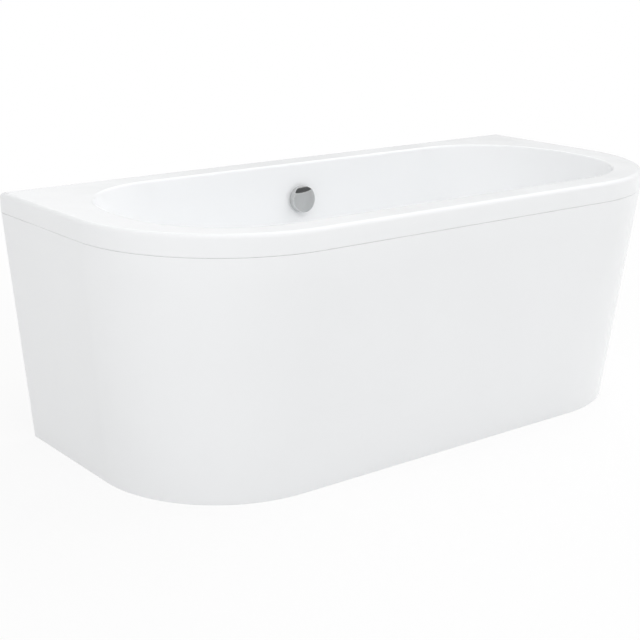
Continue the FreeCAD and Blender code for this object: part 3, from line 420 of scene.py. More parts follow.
def circle(centre, across, along, radius, count):
    turns = [2 * math.pi * i / count for i in range(count)]
    return [centre + (across * math.cos(turn) + along * math.sin(turn)) * radius for turn in turns]


def punch(bm, centre, across, along, radius, reach, finish):
    # opens a round hole in a flat stretch of wall
    facing, flat = across.cross(along), bath["wall"] / 4
    near = [f for f in bm.faces if (f.calc_center_median() - centre).length < reach
            and abs((f.calc_center_median() - centre).dot(facing)) < flat]
    border = set()
    for f in near:
        for e in f.edges:
            if sum(g in near for g in e.link_faces) == 1:
                border.update(e.verts)
    bmesh.ops.delete(bm, geom=near, context="FACES")
    hole = addRing(bm, circle(centre, across, along, radius, steps["hole"]))
    fillBetween(bm, border, hole, centre, across, along, finish)
    return hole


def offsetRing(ring, amount):  # a level ring moved outwards in plan
    moved = []
    for i, p in enumerate(ring):
        heading = ring[(i + 1) % len(ring)] - ring[i - 1]
        moved.append(p + Vector((heading.y, -heading.x, 0)).normalized() * amount)
    return moved


def bathShell():
    bm = bmesh.new()
    x, y = Vector((1, 0, 0)), Vector((0, 1, 0))
    middle = Vector((0, 0, 0))
    wall, support = bath["wall"], bath["support"]
    rimBottom = bath["height"] - bath["rimDrop"]
    deckUnder = bath["height"] - wall

    # round the lip, from under the deck to the top
    profile = [(wall + support, deckUnder), (wall, deckUnder), (wall, rimBottom)]
    lining = len(profile) - 1
    lip = topRound(bath["lipEdge"], 0, steps["smallEdge"])
    profile += [(inset, rimBottom - z) for inset, z in reversed(lip)]
    profile.append((0, rimBottom + bath["lipEdge"] + support))
    profile.append((0, bath["height"] - bath["rimEdge"] - support))
    profile += topRound(bath["rimEdge"], bath["height"], steps["edge"])
    profile.append((bath["rimEdge"] + support, bath["height"]))
    rim = [addRing(bm, rimRing(inset, z)) for inset, z in profile]
    skinAll(bm, rim, lining=lining)

    # the basin's two skins, each with a narrow flat border on the deck and on the floor
    inner = basinRings(0, bath["height"], bath["mouthEdge"], bath["floorEdge"])
    outer = basinRings(wall, deckUnder, bath["mouthEdge"] - wall, bath["floorEdge"] + wall)
    skins = []
    for finish, rings in ((0, inner), (1, outer)):
        rings = [offsetRing(rings[0], support)] + rings + [offsetRing(rings[-1], -support)]
        made = [addRing(bm, ring) for ring in rings]
        skinAll(bm, made, finish)
        skins.append(made)
    fillBetween(bm, rim[-1], skins[0][0], middle, x, y, 0)
    fillBetween(bm, rim[0], skins[1][0], middle, x, y, 1)

    # waste recess and hole in the floor
    floor = bath["height"] - bath["depth"]
    waste = Vector((0, bath["wasteY"], 0))
    recess, hole, edge = bath["recess"] / 2, bath["wasteHole"] / 2, bath["recessEdge"]
    sunk, bend = floor - bath["recessDepth"], edge * bath["recessBend"]
    loops = []
    for radius, z in ((recess + edge, floor), (recess + bend, floor - bend), (recess, floor - edge),
                      (recess, sunk), (hole, sunk), (hole, floor - wall)):
        loops.append(addRing(bm, circle(waste + up * z, x, y, radius, steps["hole"])))
    skinAll(bm, loops)
    fillBetween(bm, skins[0][-1], loops[0], waste, x, y, 0)
    fillBetween(bm, skins[1][-1], loops[-1], waste, x, y, 1)

    # overflow hole through the back wall
    slope = Vector((0, math.sin(bath["sideDraft"]), math.cos(bath["sideDraft"])))
    outside = overflowCentre + slope.cross(x) * wall * math.cos(bath["sideDraft"])
    reach = bath["overflowHole"] * bath["holeReach"]
    holes = [punch(bm, centre, x, slope, bath["overflowHole"] / 2, reach, finish)
             for centre, finish in ((overflowCentre, 0), (outside, 1))]
    skin(bm, holes[0], holes[1])
    makePiece("bathShell", bm, "bath", "bath_shell", ["acrylic", "laminate"])


# Wrap panel

panel = {"top": 529.5, "setback": 0.5, "wall": 5, "endTaper": 48.5, "frontTaper": 67.5, "edge": 0.8,
         "foot": 0.8, "foldWidth": 25, "tongueInset": 8, "tongueWall": 4, "tongueTop": 548, "rows": 8}


def panelLine(inset, z, folded):  # open line round the panel, at a level
    lean = 1 - z / panel["top"]
    edge = panel["setback"] + panel["endTaper"] * lean + inset
    half = bath["length"] / 2 - edge
    front = -bath["width"] / 2 + panel["setback"] + panel["frontTaper"] * lean + inset
    back = bath["width"] / 2 - inset
    line = frontLine(half, back, front, bath["corner"] - edge)
    if folded:
        end = half + inset - panel["wall"] - panel["foldWidth"]
        line = [(-end, back)] + line + [(end, back)]
    return [Vector((x, y, z)) for x, y in line]


def sweepProfile(bm, profile, folded, whiteStrips):  # closed profile along the open line
    lines = [addRing(bm, panelLine(inset, z, folded)) for inset, z in profile]
    for i in range(len(lines)):
        skin(bm, lines[i], lines[(i + 1) % len(lines)], 0 if i < whiteStrips else 1, closed=False)
    bm.faces.new([line[0] for line in lines])
    bm.faces.new([line[-1] for line in reversed(lines)])


def wrapPanel():
    bm = bmesh.new()
    top, wall, edge, foot = (panel[key] for key in ("top", "wall", "edge", "foot"))
    rows = [foot + (top - edge - foot) * i / panel["rows"] for i in range(panel["rows"] + 1)]
    profile = [(foot, 0)] + [(0, z) for z in rows] + topRound(edge, top, steps["smallEdge"])[1:]
    outside = len(profile)
    profile += [(wall, top)] + [(wall, z) for z in reversed(rows)] + [(wall, 0)]
    sweepProfile(bm, profile, True, outside)

    # ledge and tongue that locate the panel behind the lip
    outer = panel["tongueInset"] - panel["setback"]
    inner = outer + panel["tongueWall"]
    ledge = [(wall, top - wall), (inner, top - wall), (inner, panel["tongueTop"]),
             (outer, panel["tongueTop"]), (outer, top), (wall, top)]
    sweepProfile(bm, ledge, False, len(ledge))
    makePiece("wrapPanel", bm, "bath", "wrap_panel", ["acrylic", "laminate"])


# Turned knob, made again for a smooth mirror: crowned face, rounded rim and one flat grip facet

knob = {"radius": 33, "back": 5, "reach": 22, "crown": 2.5, "edge": 2.5, "wall": 3, "hollow": 6,
        "boss": 9, "bore": 5.05, "boreDepth": 11, "facetUp": 17, "facetLean": math.radians(27),
        "facetTurn": math.radians(6), "facetEdge": 1.0, "fade": math.radians(12),
        "facetColumns": 48, "roundColumns": 120, "fillet": 6, "weld": 1e-4,
        # shares of a stretch, with rows held close to its ends
        "crownRows": [i / 12 for i in range(1, 12)] + [0.985, 1],
        "facetRows": (0.03, 0.35, 0.65, 0.97, 1), "sideRows": (0.04, 0.5, 1)}
knobBall = (knob["radius"] ** 2 + knob["crown"] ** 2) / (2 * knob["crown"])  # crowned face's radius


def knobColumn(heading, edge, facet):
    # one line over the face, from beside the middle to the back of the rim
    centre = up * (knob["reach"] - knobBall)
    slim = knob["radius"] - edge
    turn = math.asin(slim / (knobBall - edge))
    if facet:
        normal, offset = facet
        rise, tilt = normal.dot(heading), normal.z
        far = (offset - edge - tilt * centre.z) / ((knobBall - edge) * math.hypot(rise, tilt))
        turn = min(turn, math.atan2(rise, tilt) - math.acos(far))
    line = [centre + (heading * math.sin(turn * share) + up * math.cos(turn * share)) * knobBall
            for share in knob["crownRows"]]
    lean = heading * math.sin(turn) + up * math.cos(turn)
    first = centre + lean * (knobBall - edge)
    bends = knob["fillet"]
    if facet:
        last = heading * slim + up * ((offset - edge - rise * slim) / tilt)
        line += [first + turnBetween(lean, normal, (i + 1) / bends) * edge for i in range(bends)]
        line += [first.lerp(last, share) + normal * edge for share in knob["facetRows"]]
        line += [last + turnBetween(normal, heading, (i + 1) / bends) * edge for i in range(bends)]
    else:
        count = 2 * bends + len(knob["facetRows"])
        line += [first + turnBetween(lean, heading, (i + 1) / count) * edge for i in range(count)]
    top = line[-1].z
    return line + [heading * knob["radius"] + up * (top + (knob["back"] - top) * share)
                   for share in knob["sideRows"]]


def turnedKnob():
    # the facet's plane, and half the angle that it takes up at the rim
    lean, turn, edge = knob["facetLean"], knob["facetTurn"], knob["facetEdge"]
    normal = Vector((-math.sin(turn) * math.sin(lean), math.cos(turn) * math.sin(lean), math.cos(lean)))
    height = knob["reach"] - knob["crown"] * (knob["facetUp"] / knob["radius"]) ** 2
    offset = normal.dot(Vector((-knob["facetUp"] * math.sin(turn), knob["facetUp"] * math.cos(turn),
                                height)))
    slim = knob["radius"] - edge
    rim = knob["reach"] - knobBall + math.sqrt((knobBall - edge) ** 2 - slim ** 2)
    half = math.acos((offset - edge - normal.z * rim) / (slim * math.sin(lean)))
    middle = quarter + turn
    across, around = knob["facetColumns"], knob["roundColumns"]
    angles = [(-half + 2 * half * i / across, True) for i in range(across + 1)]
    angles += [(half + (2 * math.pi - 2 * half) * i / around, False) for i in range(1, around)]
    # the hollow back with its bored boss
    back, inside = knob["back"], knob["radius"] - knob["wall"]
    hollow, bored = back + knob["hollow"], back + knob["boreDepth"]
    under = ((inside, back), (inside, hollow), (knob["boss"], hollow), (knob["boss"], back),
             (knob["bore"], back), (knob["bore"], bored))
    slope, out = math.sin(bath["sideDraft"]), math.cos(bath["sideDraft"])

    def placed(p):  # from the overflow's own frame to the bath's
        return overflowCentre + Vector((p.x, p.y * slope - p.z * out, p.y * out + p.z * slope))

    bm = bmesh.new()
    columns = []
    for angle, faceted in angles:
        heading = Vector((math.cos(middle + angle), math.sin(middle + angle), 0))
        away = min(angle - half, 2 * math.pi - half - angle) / knob["fade"]
        size = edge if faceted else edge + (knob["edge"] - edge) * min(1, away)
        line = knobColumn(heading, size, (normal, offset) if faceted else None)
        line += [heading * radius + up * z for radius, z in under]
        columns.append(addRing(bm, [placed(p) for p in line]))
    tip = bm.verts.new(placed(up * knob["reach"]))
    end = bm.verts.new(placed(up * bored))
    for i, column in enumerate(columns):
        following = columns[(i + 1) % len(columns)]
        skin(bm, column, following, closed=False)
        bm.faces.new((tip, column[0], following[0]))
        bm.faces.new((end, following[-1], column[-1]))
    bmesh.ops.remove_doubles(bm, verts=bm.verts, dist=knob["weld"])
    makePiece("turnedKnob", bm, "knob", "overflow_knob", ["chrome"])


bathShell()
wrapPanel()
turnedKnob()
print("smooth pieces done")


# Grown pieces: what repeats or follows a path, made by Geometry Nodes

def startTree(name, sizes):  # a tree with one named input for each size
    tree = bpy.data.node_groups.new(name, "GeometryNodeTree")
    tree.interface.new_socket("Geometry", in_out="INPUT", socket_type="NodeSocketGeometry")
    tree.interface.new_socket("Geometry", in_out="OUTPUT", socket_type="NodeSocketGeometry")
    for label, size in sizes.items():
        kind = "NodeSocketInt" if isinstance(size, int) else "NodeSocketFloat"
        tree.interface.new_socket(label, in_out="INPUT", socket_type=kind)
    return tree, addNode(tree, "NodeGroupInput").outputs


def endTree(tree, shape, finish):
    real = addStep(tree, "GeometryNodeRealizeInstances", links={0: shape})
    painted = addStep(tree, "GeometryNodeSetMaterial", {"Material": finishes[finish]}, {0: real})
    addNode(tree, "NodeGroupOutput", links={0: painted})


def startPoints(name, points, thick=None):  # loose points that a tree grows on
    mesh = bpy.data.meshes.new(name)
    mesh.from_pydata([Vector(p) * mm for p in points], [], [])
    if thick:
        mesh.attributes.new("thick", "FLOAT", "POINT").data.foreach_set("value", thick)
    return mesh


def startRoute(name, points):  # smooth line led by listed points
    order, stepsBetween = 3, 24
    data = bpy.data.curves.new(name, "CURVE")
    data.dimensions = "3D"
    spline = data.splines.new("NURBS")
    spline.points.add(len(points) - 1)
    for point, place in zip(spline.points, points):
        point.co = (*(Vector(place) * mm), 1)
    spline.order_u = order
    spline.use_endpoint_u = True
    spline.resolution_u = stepsBetween
    line = bpy.data.objects.new(name, data)
    bpy.context.scene.collection.objects.link(line)
    mesh = bpy.data.meshes.new_from_object(line)
    bpy.data.objects.remove(line)
    return mesh


def growPiece(name, start, tree, sizes, body, node, wall=0.0, sharpAngle=35):
    piece = bpy.data.objects.new(name, start)
    grower = piece.modifiers.new("grow", "NODES")
    grower.node_group = tree
    for socket in tree.interface.items_tree:
        if socket.in_out == "INPUT" and socket.name in sizes:
            grower[socket.identifier] = sizes[socket.name]
    if wall:
        solid = piece.modifiers.new("wall", "SOLIDIFY")
        solid.thickness = wall * mm
        solid.offset = -1.0
    bpy.context.scene.collection.objects.link(piece)
    ready = piece.evaluated_get(bpy.context.evaluated_depsgraph_get())
    mesh = bpy.data.meshes.new_from_object(ready)
    piece.modifiers.clear()
    piece.data = mesh
    mesh.name = name
    handOver(piece, body, node, sharpAngle)


def evenLine(tree, route, count):  # a route with its points evenly spaced
    line = addStep(tree, "GeometryNodeMeshToCurve", links={0: route})
    return addStep(tree, "GeometryNodeResampleCurve", links={"Curve": line, "Count": count})


def cylinder(tree, sides, radius, depth, segments=1):
    return addStep(tree, "GeometryNodeMeshCylinder", {"Vertices": sides, "Side Segments": segments},
                   {"Radius": radius, "Depth": depth})


def raised(tree, shape, level):
    return addStep(tree, "GeometryNodeTransform",
                   links={0: shape, "Translation": vector(tree, 0, 0, level)})


def positionAxes(tree):
    position = addStep(tree, "GeometryNodeInputPosition")
    return addNode(tree, "ShaderNodeSeparateXYZ", links={0: position}).outputs


def pinched(tree, shape, axes, share, level):  # drawn in round its axis, at new levels
    place = vector(tree, *(calc(tree, "MULTIPLY", axes[i], share) for i in (0, 1)), level)
    return addStep(tree, "GeometryNodeSetPosition", links={"Geometry": shape, "Position": place})


def cutAway(tree, shape, tool):
    return addStep(tree, "GeometryNodeMeshBoolean", links={"Mesh 1": shape, "Mesh 2": tool},
                   operation="DIFFERENCE", solver="MANIFOLD")


def onPoints(tree, given, shape, **more):  # one copy on each loose point
    return addStep(tree, "GeometryNodeInstanceOnPoints",
                   links=dict(more, Points=given["Geometry"], Instance=shape))


# Ribbed overflow hose with plain cuffs, and the control cable beside it

hose = {"route": ((0, 299.69, 444.36), (0, 279.68, 215.55), (0, 274.58, 157.37), (0, 231.62, 118),
                  (0, 173.22, 118), (0, 116, 118)),
        "sizes": {"Ribs": 48, "Cuff ribs": 4, "Rings per rib": 8, "Sides": 36, "Cuff": 16.0 * mm,
                  "Valley": 15.5 * mm, "Crest": 18.0 * mm},
        # where a rib's flank begins and ends, as shares of the pitch
        "flank": (0.1, 0.38), "wall": 2.0}
cable = {"route": ((33, 296.46, 464.72), (33, 278.07, 254.51), (33, 270.95, 173.17), (33, 210.74, 118),
                   (33, 129.08, 118), (33, 85, 118)),
         "sizes": {"Steps": 160, "Sides": 18, "Radius": 2.5 * mm}}
tubeSharpAngle = 60


def ribbedHose():
    tree, given = startTree("ribbedHose", hose["sizes"])
    ribs, ringsPerRib = given["Ribs"], given["Rings per rib"]
    pitches = calc(tree, "MULTIPLY_ADD", given["Cuff ribs"], 2.0, ribs)
    rings = calc(tree, "MULTIPLY_ADD", pitches, ringsPerRib, 1.0)
    line = evenLine(tree, given["Geometry"], rings)
    ribAt = calc(tree, "DIVIDE", addStep(tree, "GeometryNodeInputIndex"), ringsPerRib)
    start, end = hose["flank"]
    rib = addStep(tree, "ShaderNodeMapRange", {1: start, 2: end},
                  {0: calc(tree, "PINGPONG", ribAt, 0.5), 3: given["Valley"], 4: given["Crest"]},
                  interpolation_type="SMOOTHSTEP")
    fromMiddle = calc(tree, "SUBTRACT", ribAt, calc(tree, "MULTIPLY", pitches, 0.5))
    ribbed = calc(tree, "LESS_THAN", calc(tree, "ABSOLUTE", fromMiddle),
                  calc(tree, "MULTIPLY", ribs, 0.5))
    radius = addStep(tree, "ShaderNodeMix", links={0: ribbed, 2: given["Cuff"], 3: rib})
    section = addStep(tree, "GeometryNodeCurvePrimitiveCircle", {"Radius": 1.0},
                      {"Resolution": given["Sides"]})
    tube = addStep(tree, "GeometryNodeCurveToMesh",
                   links={"Curve": line, "Profile Curve": section, "Scale": radius})
    endTree(tree, tube, "greyPlastic")
    growPiece("overflowHose", startRoute("hoseRoute", hose["route"]), tree, hose["sizes"], "bath",
              "overflow_hose", wall=hose["wall"], sharpAngle=tubeSharpAngle)


def controlCable():
    tree, given = startTree("controlCable", cable["sizes"])
    line = evenLine(tree, given["Geometry"], given["Steps"])
    section = addStep(tree, "GeometryNodeCurvePrimitiveCircle",
                      links={"Resolution": given["Sides"], "Radius": given["Radius"]})
    sleeve = addStep(tree, "GeometryNodeCurveToMesh", {"Fill Caps": True},
                     {"Curve": line, "Profile Curve": section})
    endTree(tree, sleeve, "blackPlastic")
    growPiece("controlCable", startRoute("cableRoute", cable["route"]), tree, cable["sizes"], "bath",
              "control_cable", sharpAngle=tubeSharpAngle)


# Feet: threaded studs with a hexagon collar, and the nuts that lock them

foot = {"x": 309.93, "y": 246.105, "centreY": -60, "low": 8, "top": 162, "centreTop": 150,
        "rodSides": 24,
        # thread triangle's height over the pitch, then shares of that height
        "threadDeep": 0.866, "coreShare": 0.8, "ridgeShare": 2 / 3,
        "sizes": {"Pitch": 1.75 * mm, "Thread radius": 6.0 * mm, "Turn steps": 20,
                  "Collar low": 6.0 * mm, "Collar height": 6.0 * mm, "Collar across": 17.0 * mm}}
nut = {"seat": 141.5, "centreSeat": 141.0, "jamLow": 144.0, "thick": 10.0, "jamThick": 6.0,
       "blankSides": 48, "boreSides": 32,
       # rings past this share of the thickness are ends; width of the blank at its shoulders and ends
       "endShare": 0.3, "shoulderWidth": 1.02, "endWidth": 0.84, "sharpAngle": 20,
       "sizes": {"Across": 19.0 * mm, "Bore": 6.25 * mm, "Chamfer": 1.1 * mm}}
nut["sizes"]["Thick"] = nut["thick"] * mm
corners = [(side * foot["x"], row * foot["y"]) for row in (-1, 1) for side in (-1, 1)]
footSpots = dict(zip(footPlaces, corners + [(0, foot["centreY"])]))


def studTree():
    tree, given = startTree("threadedStud", dict(foot["sizes"], Length=1.0))
    pitch, length, outside = given["Pitch"], given["Length"], given["Thread radius"]
    deep = calc(tree, "MULTIPLY", pitch, foot["threadDeep"])
    core = calc(tree, "MULTIPLY_ADD", deep, -foot["coreShare"], outside)
    rod = cylinder(tree, foot["rodSides"], core, length)
    rod = raised(tree, rod, calc(tree, "MULTIPLY", length, 0.5))
    # the thread is one ridge of triangle section wound up the rod
    middle = calc(tree, "MULTIPLY_ADD", deep, -foot["ridgeShare"], outside)
    wound = calc(tree, "SUBTRACT", length, pitch)
    helix = addStep(tree, "GeometryNodeCurveSpiral",
                    links={"Resolution": given["Turn steps"], "Height": wound,
                           "Rotations": calc(tree, "DIVIDE", wound, pitch),
                           "Start Radius": middle, "End Radius": middle})
    upright = addStep(tree, "GeometryNodeSetCurveNormal", links={0: helix}, mode="Z_UP")
    upright = raised(tree, upright, calc(tree, "MULTIPLY", pitch, 0.5))
    section = addStep(tree, "GeometryNodeCurvePrimitiveCircle", {"Resolution": 3},
                      {"Radius": calc(tree, "MULTIPLY", deep, foot["ridgeShare"])})
    thread = addStep(tree, "GeometryNodeCurveToMesh", {"Fill Caps": True},
                     {"Curve": upright, "Profile Curve": section})
    # hexagon collar that a spanner turns
    corner = calc(tree, "MULTIPLY", given["Collar across"], hexCorner)
    collar = raised(tree, cylinder(tree, hexSides, corner, given["Collar height"]),
                    calc(tree, "MULTIPLY_ADD", given["Collar height"], 0.5, given["Collar low"]))
    whole = addStep(tree, "GeometryNodeJoinGeometry", links={0: (rod, thread, collar)})
    endTree(tree, onPoints(tree, given, whole), "zinc")
    return tree


def footStuds():
    tree = studTree()
    for spot, (x, y) in footSpots.items():
        top = foot["centreTop"] if spot == "centre" else foot["top"]
        sizes = dict(foot["sizes"], Length=(top - foot["low"]) * mm)
        camel = "".join(word.capitalize() for word in spot.split("_"))
        growPiece("footStud" + camel, startPoints("studPoint" + camel, [(x, y, foot["low"])]), tree,
                  sizes, "foot_" + spot, "foot_stud_" + spot)


def footNuts():
    # hexagon blank turned to a chamfer at both ends, then bored
    tree, given = startTree("hexagonNuts", nut["sizes"])
    thick = given["Thick"]
    corner = calc(tree, "MULTIPLY", given["Across"], hexCorner)
    long = calc(tree, "MULTIPLY", thick, 2.0)
    axes = positionAxes(tree)
    atEnd = calc(tree, "GREATER_THAN", calc(tree, "ABSOLUTE", axes[2]),
                 calc(tree, "MULTIPLY", thick, nut["endShare"]))
    half = calc(tree, "MULTIPLY", thick, 0.5)
    shoulder = calc(tree, "SUBTRACT", half, given["Chamfer"])
    level = addStep(tree, "ShaderNodeMix", links={0: atEnd, 2: shoulder, 3: half})
    width = addStep(tree, "ShaderNodeMix", {2: nut["shoulderWidth"], 3: nut["endWidth"]}, {0: atEnd})
    blank = pinched(tree, cylinder(tree, nut["blankSides"], corner, thick, segments=3), axes, width,
                    calc(tree, "MULTIPLY", level, calc(tree, "SIGN", axes[2])))
    turned = addStep(tree, "GeometryNodeMeshBoolean",
                     links={"Mesh 2": (cylinder(tree, hexSides, corner, long), blank)},
                     operation="INTERSECT", solver="MANIFOLD")
    bored = cutAway(tree, turned, cylinder(tree, nut["boreSides"], given["Bore"], long))
    share = addNode(tree, "GeometryNodeInputNamedAttribute", {"Name": "thick"},
                    data_type="FLOAT").outputs["Attribute"]
    endTree(tree, onPoints(tree, given, bored, Scale=vector(tree, 1.0, 1.0, share)), "zinc")
    points, thicks = [], []
    for spot, (x, y) in footSpots.items():
        seat = nut["centreSeat"] if spot == "centre" else nut["seat"]
        points.append((x, y, seat - nut["thick"] / 2))
        thicks.append(1.0)
        if spot != "centre":
            points.append((x, y, nut["jamLow"] + nut["jamThick"] / 2))
            thicks.append(nut["jamThick"] / nut["thick"])
    growPiece("footNuts", startPoints("nutPoints", points, thicks), tree, nut["sizes"], "bath",
              "foot_nuts", sharpAngle=nut["sharpAngle"])


# Pan-head screws with a cross recess, driven upwards

screw = {"rows": 4, "pitch": 70, "seat": 141.5, "plateReach": 36, "plateSeat": 141.0, "clipSeat": 549.0,
         "clips": ((-300, -321), (0, -321), (300, -321), (-721, 150), (721, 150)),
         # how steeply and how far the head closes in, how deep the shank stands in it
         "panPower": 4.0, "panShrink": 0.28, "shankSunk": 0.5, "headSides": 32, "headRows": 6,
         "shankSides": 16, "turnSeed": 5,
         "sizes": {"Head": 4.5 * mm, "Head height": 3.0 * mm, "Shank": 2.25 * mm,
                   "Shank length": 12.0 * mm, "Slot": 1.1 * mm, "Slot length": 5.0 * mm,
                   "Slot depth": 1.6 * mm}}


def screwTree():
    tree, given = startTree("crossScrews", screw["sizes"])
    axes = positionAxes(tree)
    half = calc(tree, "MULTIPLY", given["Head height"], 0.5)
    low = calc(tree, "MULTIPLY", half, -1.0)
    # the head closes in towards its lower face, as a pan does
    share = addStep(tree, "ShaderNodeMapRange", {3: 0.0, 4: 1.0}, {0: axes[2], 1: half, 2: low})
    bend = calc(tree, "POWER", share, screw["panPower"])
    head = cylinder(tree, screw["headSides"], given["Head"], given["Head height"], screw["headRows"])
    head = pinched(tree, head, axes, calc(tree, "MULTIPLY_ADD", bend, -screw["panShrink"], 1.0), axes[2])
    tall = calc(tree, "MULTIPLY", given["Slot depth"], 2.0)
    for first, second in (("Slot length", "Slot"), ("Slot", "Slot length")):
        block = addStep(tree, "GeometryNodeMeshCube",
                        links={"Size": vector(tree, given[first], given[second], tall)})
        head = cutAway(tree, head, raised(tree, block, low))
    shank = cylinder(tree, screw["shankSides"], given["Shank"], given["Shank length"])
    above = calc(tree, "MULTIPLY_ADD", given["Shank length"], 0.5, -screw["shankSunk"] * mm)
    whole = addStep(tree, "GeometryNodeJoinGeometry",
                    links={0: (raised(tree, head, low), raised(tree, shank, above))})
    # each screw stopped at its own turn
    turn = addNode(tree, "FunctionNodeRandomValue", {2: 0.0, 3: quarter, "Seed": screw["turnSeed"]},
                   data_type="FLOAT").outputs[1]
    endTree(tree, onPoints(tree, given, whole, Rotation=vector(tree, 0, 0, turn)), "zinc")
    return tree


def crossScrews():
    tree = screwTree()
    middle = (screw["rows"] - 1) / 2
    places = [(side * foot["x"], (i - middle) * screw["pitch"], screw["seat"])
              for side in (-1, 1) for i in range(screw["rows"])]
    places += [(x * screw["plateReach"], foot["centreY"] + y * screw["plateReach"], screw["plateSeat"])
               for x in (-1, 1) for y in (-1, 1)]
    growPiece("frameScrews", startPoints("frameScrewPoints", places), tree, screw["sizes"], "bath",
              "frame_screws")
    places = [(x, y, screw["clipSeat"]) for x, y in screw["clips"]]
    growPiece("clipScrews", startPoints("clipScrewPoints", places), tree, screw["sizes"], "bath",
              "clip_screws")


ribbedHose()
controlCable()
footStuds()
footNuts()
crossScrews()
print("grown pieces done")


# Camera at the photograph's angle

camera = {"place": (-1.9346, -2.3165, 1.1134), "azimuth": -37.695, "elevation": 16.182, "roll": 0.303,
          "lens": 74.776, "sees": 50}


def directionAt(azimuth, elevation):  # radians round from the front, and up
    return Vector((math.sin(azimuth) * math.cos(elevation), -math.cos(azimuth) * math.cos(elevation),
                   math.sin(elevation)))


def placeCamera():
    azimuth, elevation, roll = (math.radians(camera[k]) for k in ("azimuth", "elevation", "roll"))
    back = directionAt(azimuth, elevation)
    right = Vector((math.cos(azimuth), math.sin(azimuth), 0))
    above = back.cross(right)
    side = right * math.cos(roll) + above * math.sin(roll)
    top = above * math.cos(roll) - right * math.sin(roll)
    data = bpy.data.cameras.new("camera")
    data.lens = camera["lens"]
    data.clip_end = camera["sees"]
    taker = bpy.data.objects.new("camera", data)
    bpy.context.scene.collection.objects.link(taker)
    turn = Matrix((side, top, back)).transposed().to_4x4()
    taker.matrix_world = Matrix.Translation(camera["place"]) @ turn
    bpy.context.scene.camera = taker


# Studio: pale floor, white surroundings, large soft lamps

studio = {"floorSize": 30, "floorTone": "#F2F2F2", "floorKeep": 0.86, "fadeStart": 1.2, "fadeEnd": 2.4,
          "around": 0.5, "centre": (0, 0, 0.3),
          # what mirrors see of the surroundings: white, dimmer low on the right
          "mirrored": (1.0, 0.5), "dimmed": (0.22, 0.36), "dimSide": (1, 0, -1),
          # name, degrees round from the front, degrees up, metres away, metres across, watts
          "lamps": (("highRight", 90, 48, 4.0, 6.0, 112), ("highCamera", -42, 46, 4.0, 4.0, 43),
                    ("highFront", 0, 46, 4.0, 4.0, 7), ("lowLeft", -85, 15, 4.0, 2.6, 11))}
white = (1, 1, 1, 1)
# small grey card that only mirrors see: it puts a painted dark reflection, the stripe across the knob's
# facet
card = {"from": (-0.0018, 0.255, 0.5112), "toward": (0.515, -0.557, 0.651), "away": 0.35, "roll": -29,
        "width": 0.08, "height": 0.0157, "tone": "#707070"}


def plainSheet(name, halfX, halfY, material):
    mesh = bpy.data.meshes.new(name)
    corners = [(-halfX, -halfY, 0), (halfX, -halfY, 0), (halfX, halfY, 0), (-halfX, halfY, 0)]
    mesh.from_pydata(corners, [], [(0, 1, 2, 3)])
    mesh.materials.append(material)
    sheet = bpy.data.objects.new(name, mesh)
    bpy.context.scene.collection.objects.link(sheet)
    return sheet


def studioWorld():
    world = bpy.data.worlds.new("studio")
    bpy.context.scene.world = world
    world.use_nodes = True
    tree = world.node_tree
    tree.nodes.clear()
    path = addNode(tree, "ShaderNodeLightPath").outputs
    seen = calc(tree, "MAXIMUM", path["Is Camera Ray"], path["Is Transmission Ray"])
    toward = addNode(tree, "ShaderNodeTexCoord").outputs["Generated"]
    low = addNode(tree, "ShaderNodeVectorMath", {1: studio["dimSide"]}, {0: toward},
                  operation="DOT_PRODUCT").outputs["Value"]
    dimmed = spread(tree, low, *studio["mirrored"], *studio["dimmed"])
    light = addStep(tree, "ShaderNodeMix", {2: studio["around"]}, {0: path["Is Glossy Ray"], 3: dimmed})
    surround = addStep(tree, "ShaderNodeBackground", {"Color": white},
                       {"Strength": calc(tree, "MAXIMUM", seen, light)})
    addNode(tree, "ShaderNodeOutputWorld", links={"Surface": surround})


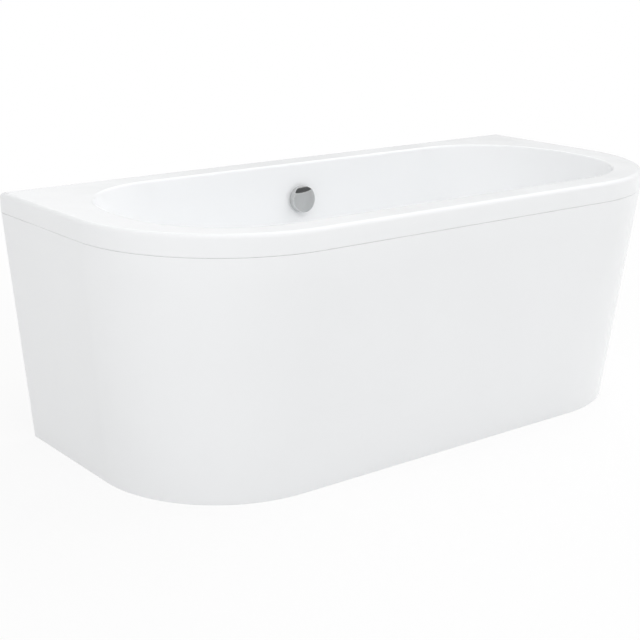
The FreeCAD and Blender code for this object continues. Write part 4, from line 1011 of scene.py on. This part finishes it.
def studioFloor():
    # shows as white paper that keeps a pale shadow near the bath
    material = bpy.data.materials.new("studioPaper")
    material.use_nodes = True
    tree = material.node_tree
    tree.nodes.clear()
    path = addNode(tree, "ShaderNodeLightPath").outputs
    seen = calc(tree, "MAXIMUM", path["Is Camera Ray"], path["Is Glossy Ray"])
    seen = calc(tree, "MAXIMUM", seen, path["Is Transmission Ray"])
    paper = addStep(tree, "ShaderNodeBsdfDiffuse", {"Color": linear(studio["floorTone"])})
    glow = addStep(tree, "ShaderNodeEmission", {"Color": white, "Strength": 1.0})
    place = addNode(tree, "ShaderNodeTexCoord").outputs["Object"]
    far = addNode(tree, "ShaderNodeVectorMath", links={0: place}, operation="LENGTH").outputs["Value"]
    keep = spread(tree, far, studio["floorKeep"], 1.0, studio["fadeStart"], studio["fadeEnd"])
    both = addStep(tree, "ShaderNodeMixShader",
                   links={0: calc(tree, "MULTIPLY", seen, keep), 1: paper, 2: glow})
    addNode(tree, "ShaderNodeOutputMaterial", links={"Surface": both})
    half = studio["floorSize"] / 2
    plainSheet("floor", half, half, material)


def studioLamps():
    centre = Vector(studio["centre"])
    for name, around, above, away, size, watts in studio["lamps"]:
        toward = directionAt(math.radians(around), math.radians(above))
        data = bpy.data.lights.new(name, "AREA")
        data.shape = "DISK"
        data.size = size
        data.energy = watts
        lamp = bpy.data.objects.new(name, data)
        bpy.context.scene.collection.objects.link(lamp)
        lamp.location = centre + toward * away
        lamp.rotation_euler = toward.to_track_quat("Z", "Y").to_euler()
        lamp.visible_glossy = False  # mirrors see the surroundings alone


def facetReflectionCard():
    # a sheet seen only in mirrors, there for the painted dark reflection on the knob's facet
    material = bpy.data.materials.new("stripeReflectionGrey")
    material.use_nodes = True
    shader = material.node_tree.nodes["Principled BSDF"]
    shader.inputs["Base Color"].default_value = linear(card["tone"])
    shader.inputs["Roughness"].default_value = 1.0
    sheet = plainSheet("facetReflectionCard", card["width"] / 2, card["height"] / 2, material)
    toward = Vector(card["toward"]).normalized()
    facing = toward.to_track_quat("Z", "Y").to_matrix().to_4x4()
    turn = facing @ Matrix.Rotation(math.radians(card["roll"]), 4, "Z")
    sheet.matrix_world = Matrix.Translation(Vector(card["from"]) + toward * card["away"]) @ turn
    sheet.visible_camera = sheet.visible_diffuse = sheet.visible_shadow = False
    sheet.visible_transmission = False


placeCamera()
studioWorld()
studioFloor()
studioLamps()
facetReflectionCard()
bpy.context.scene.view_settings.view_transform = "Standard"
print("camera and studio set")
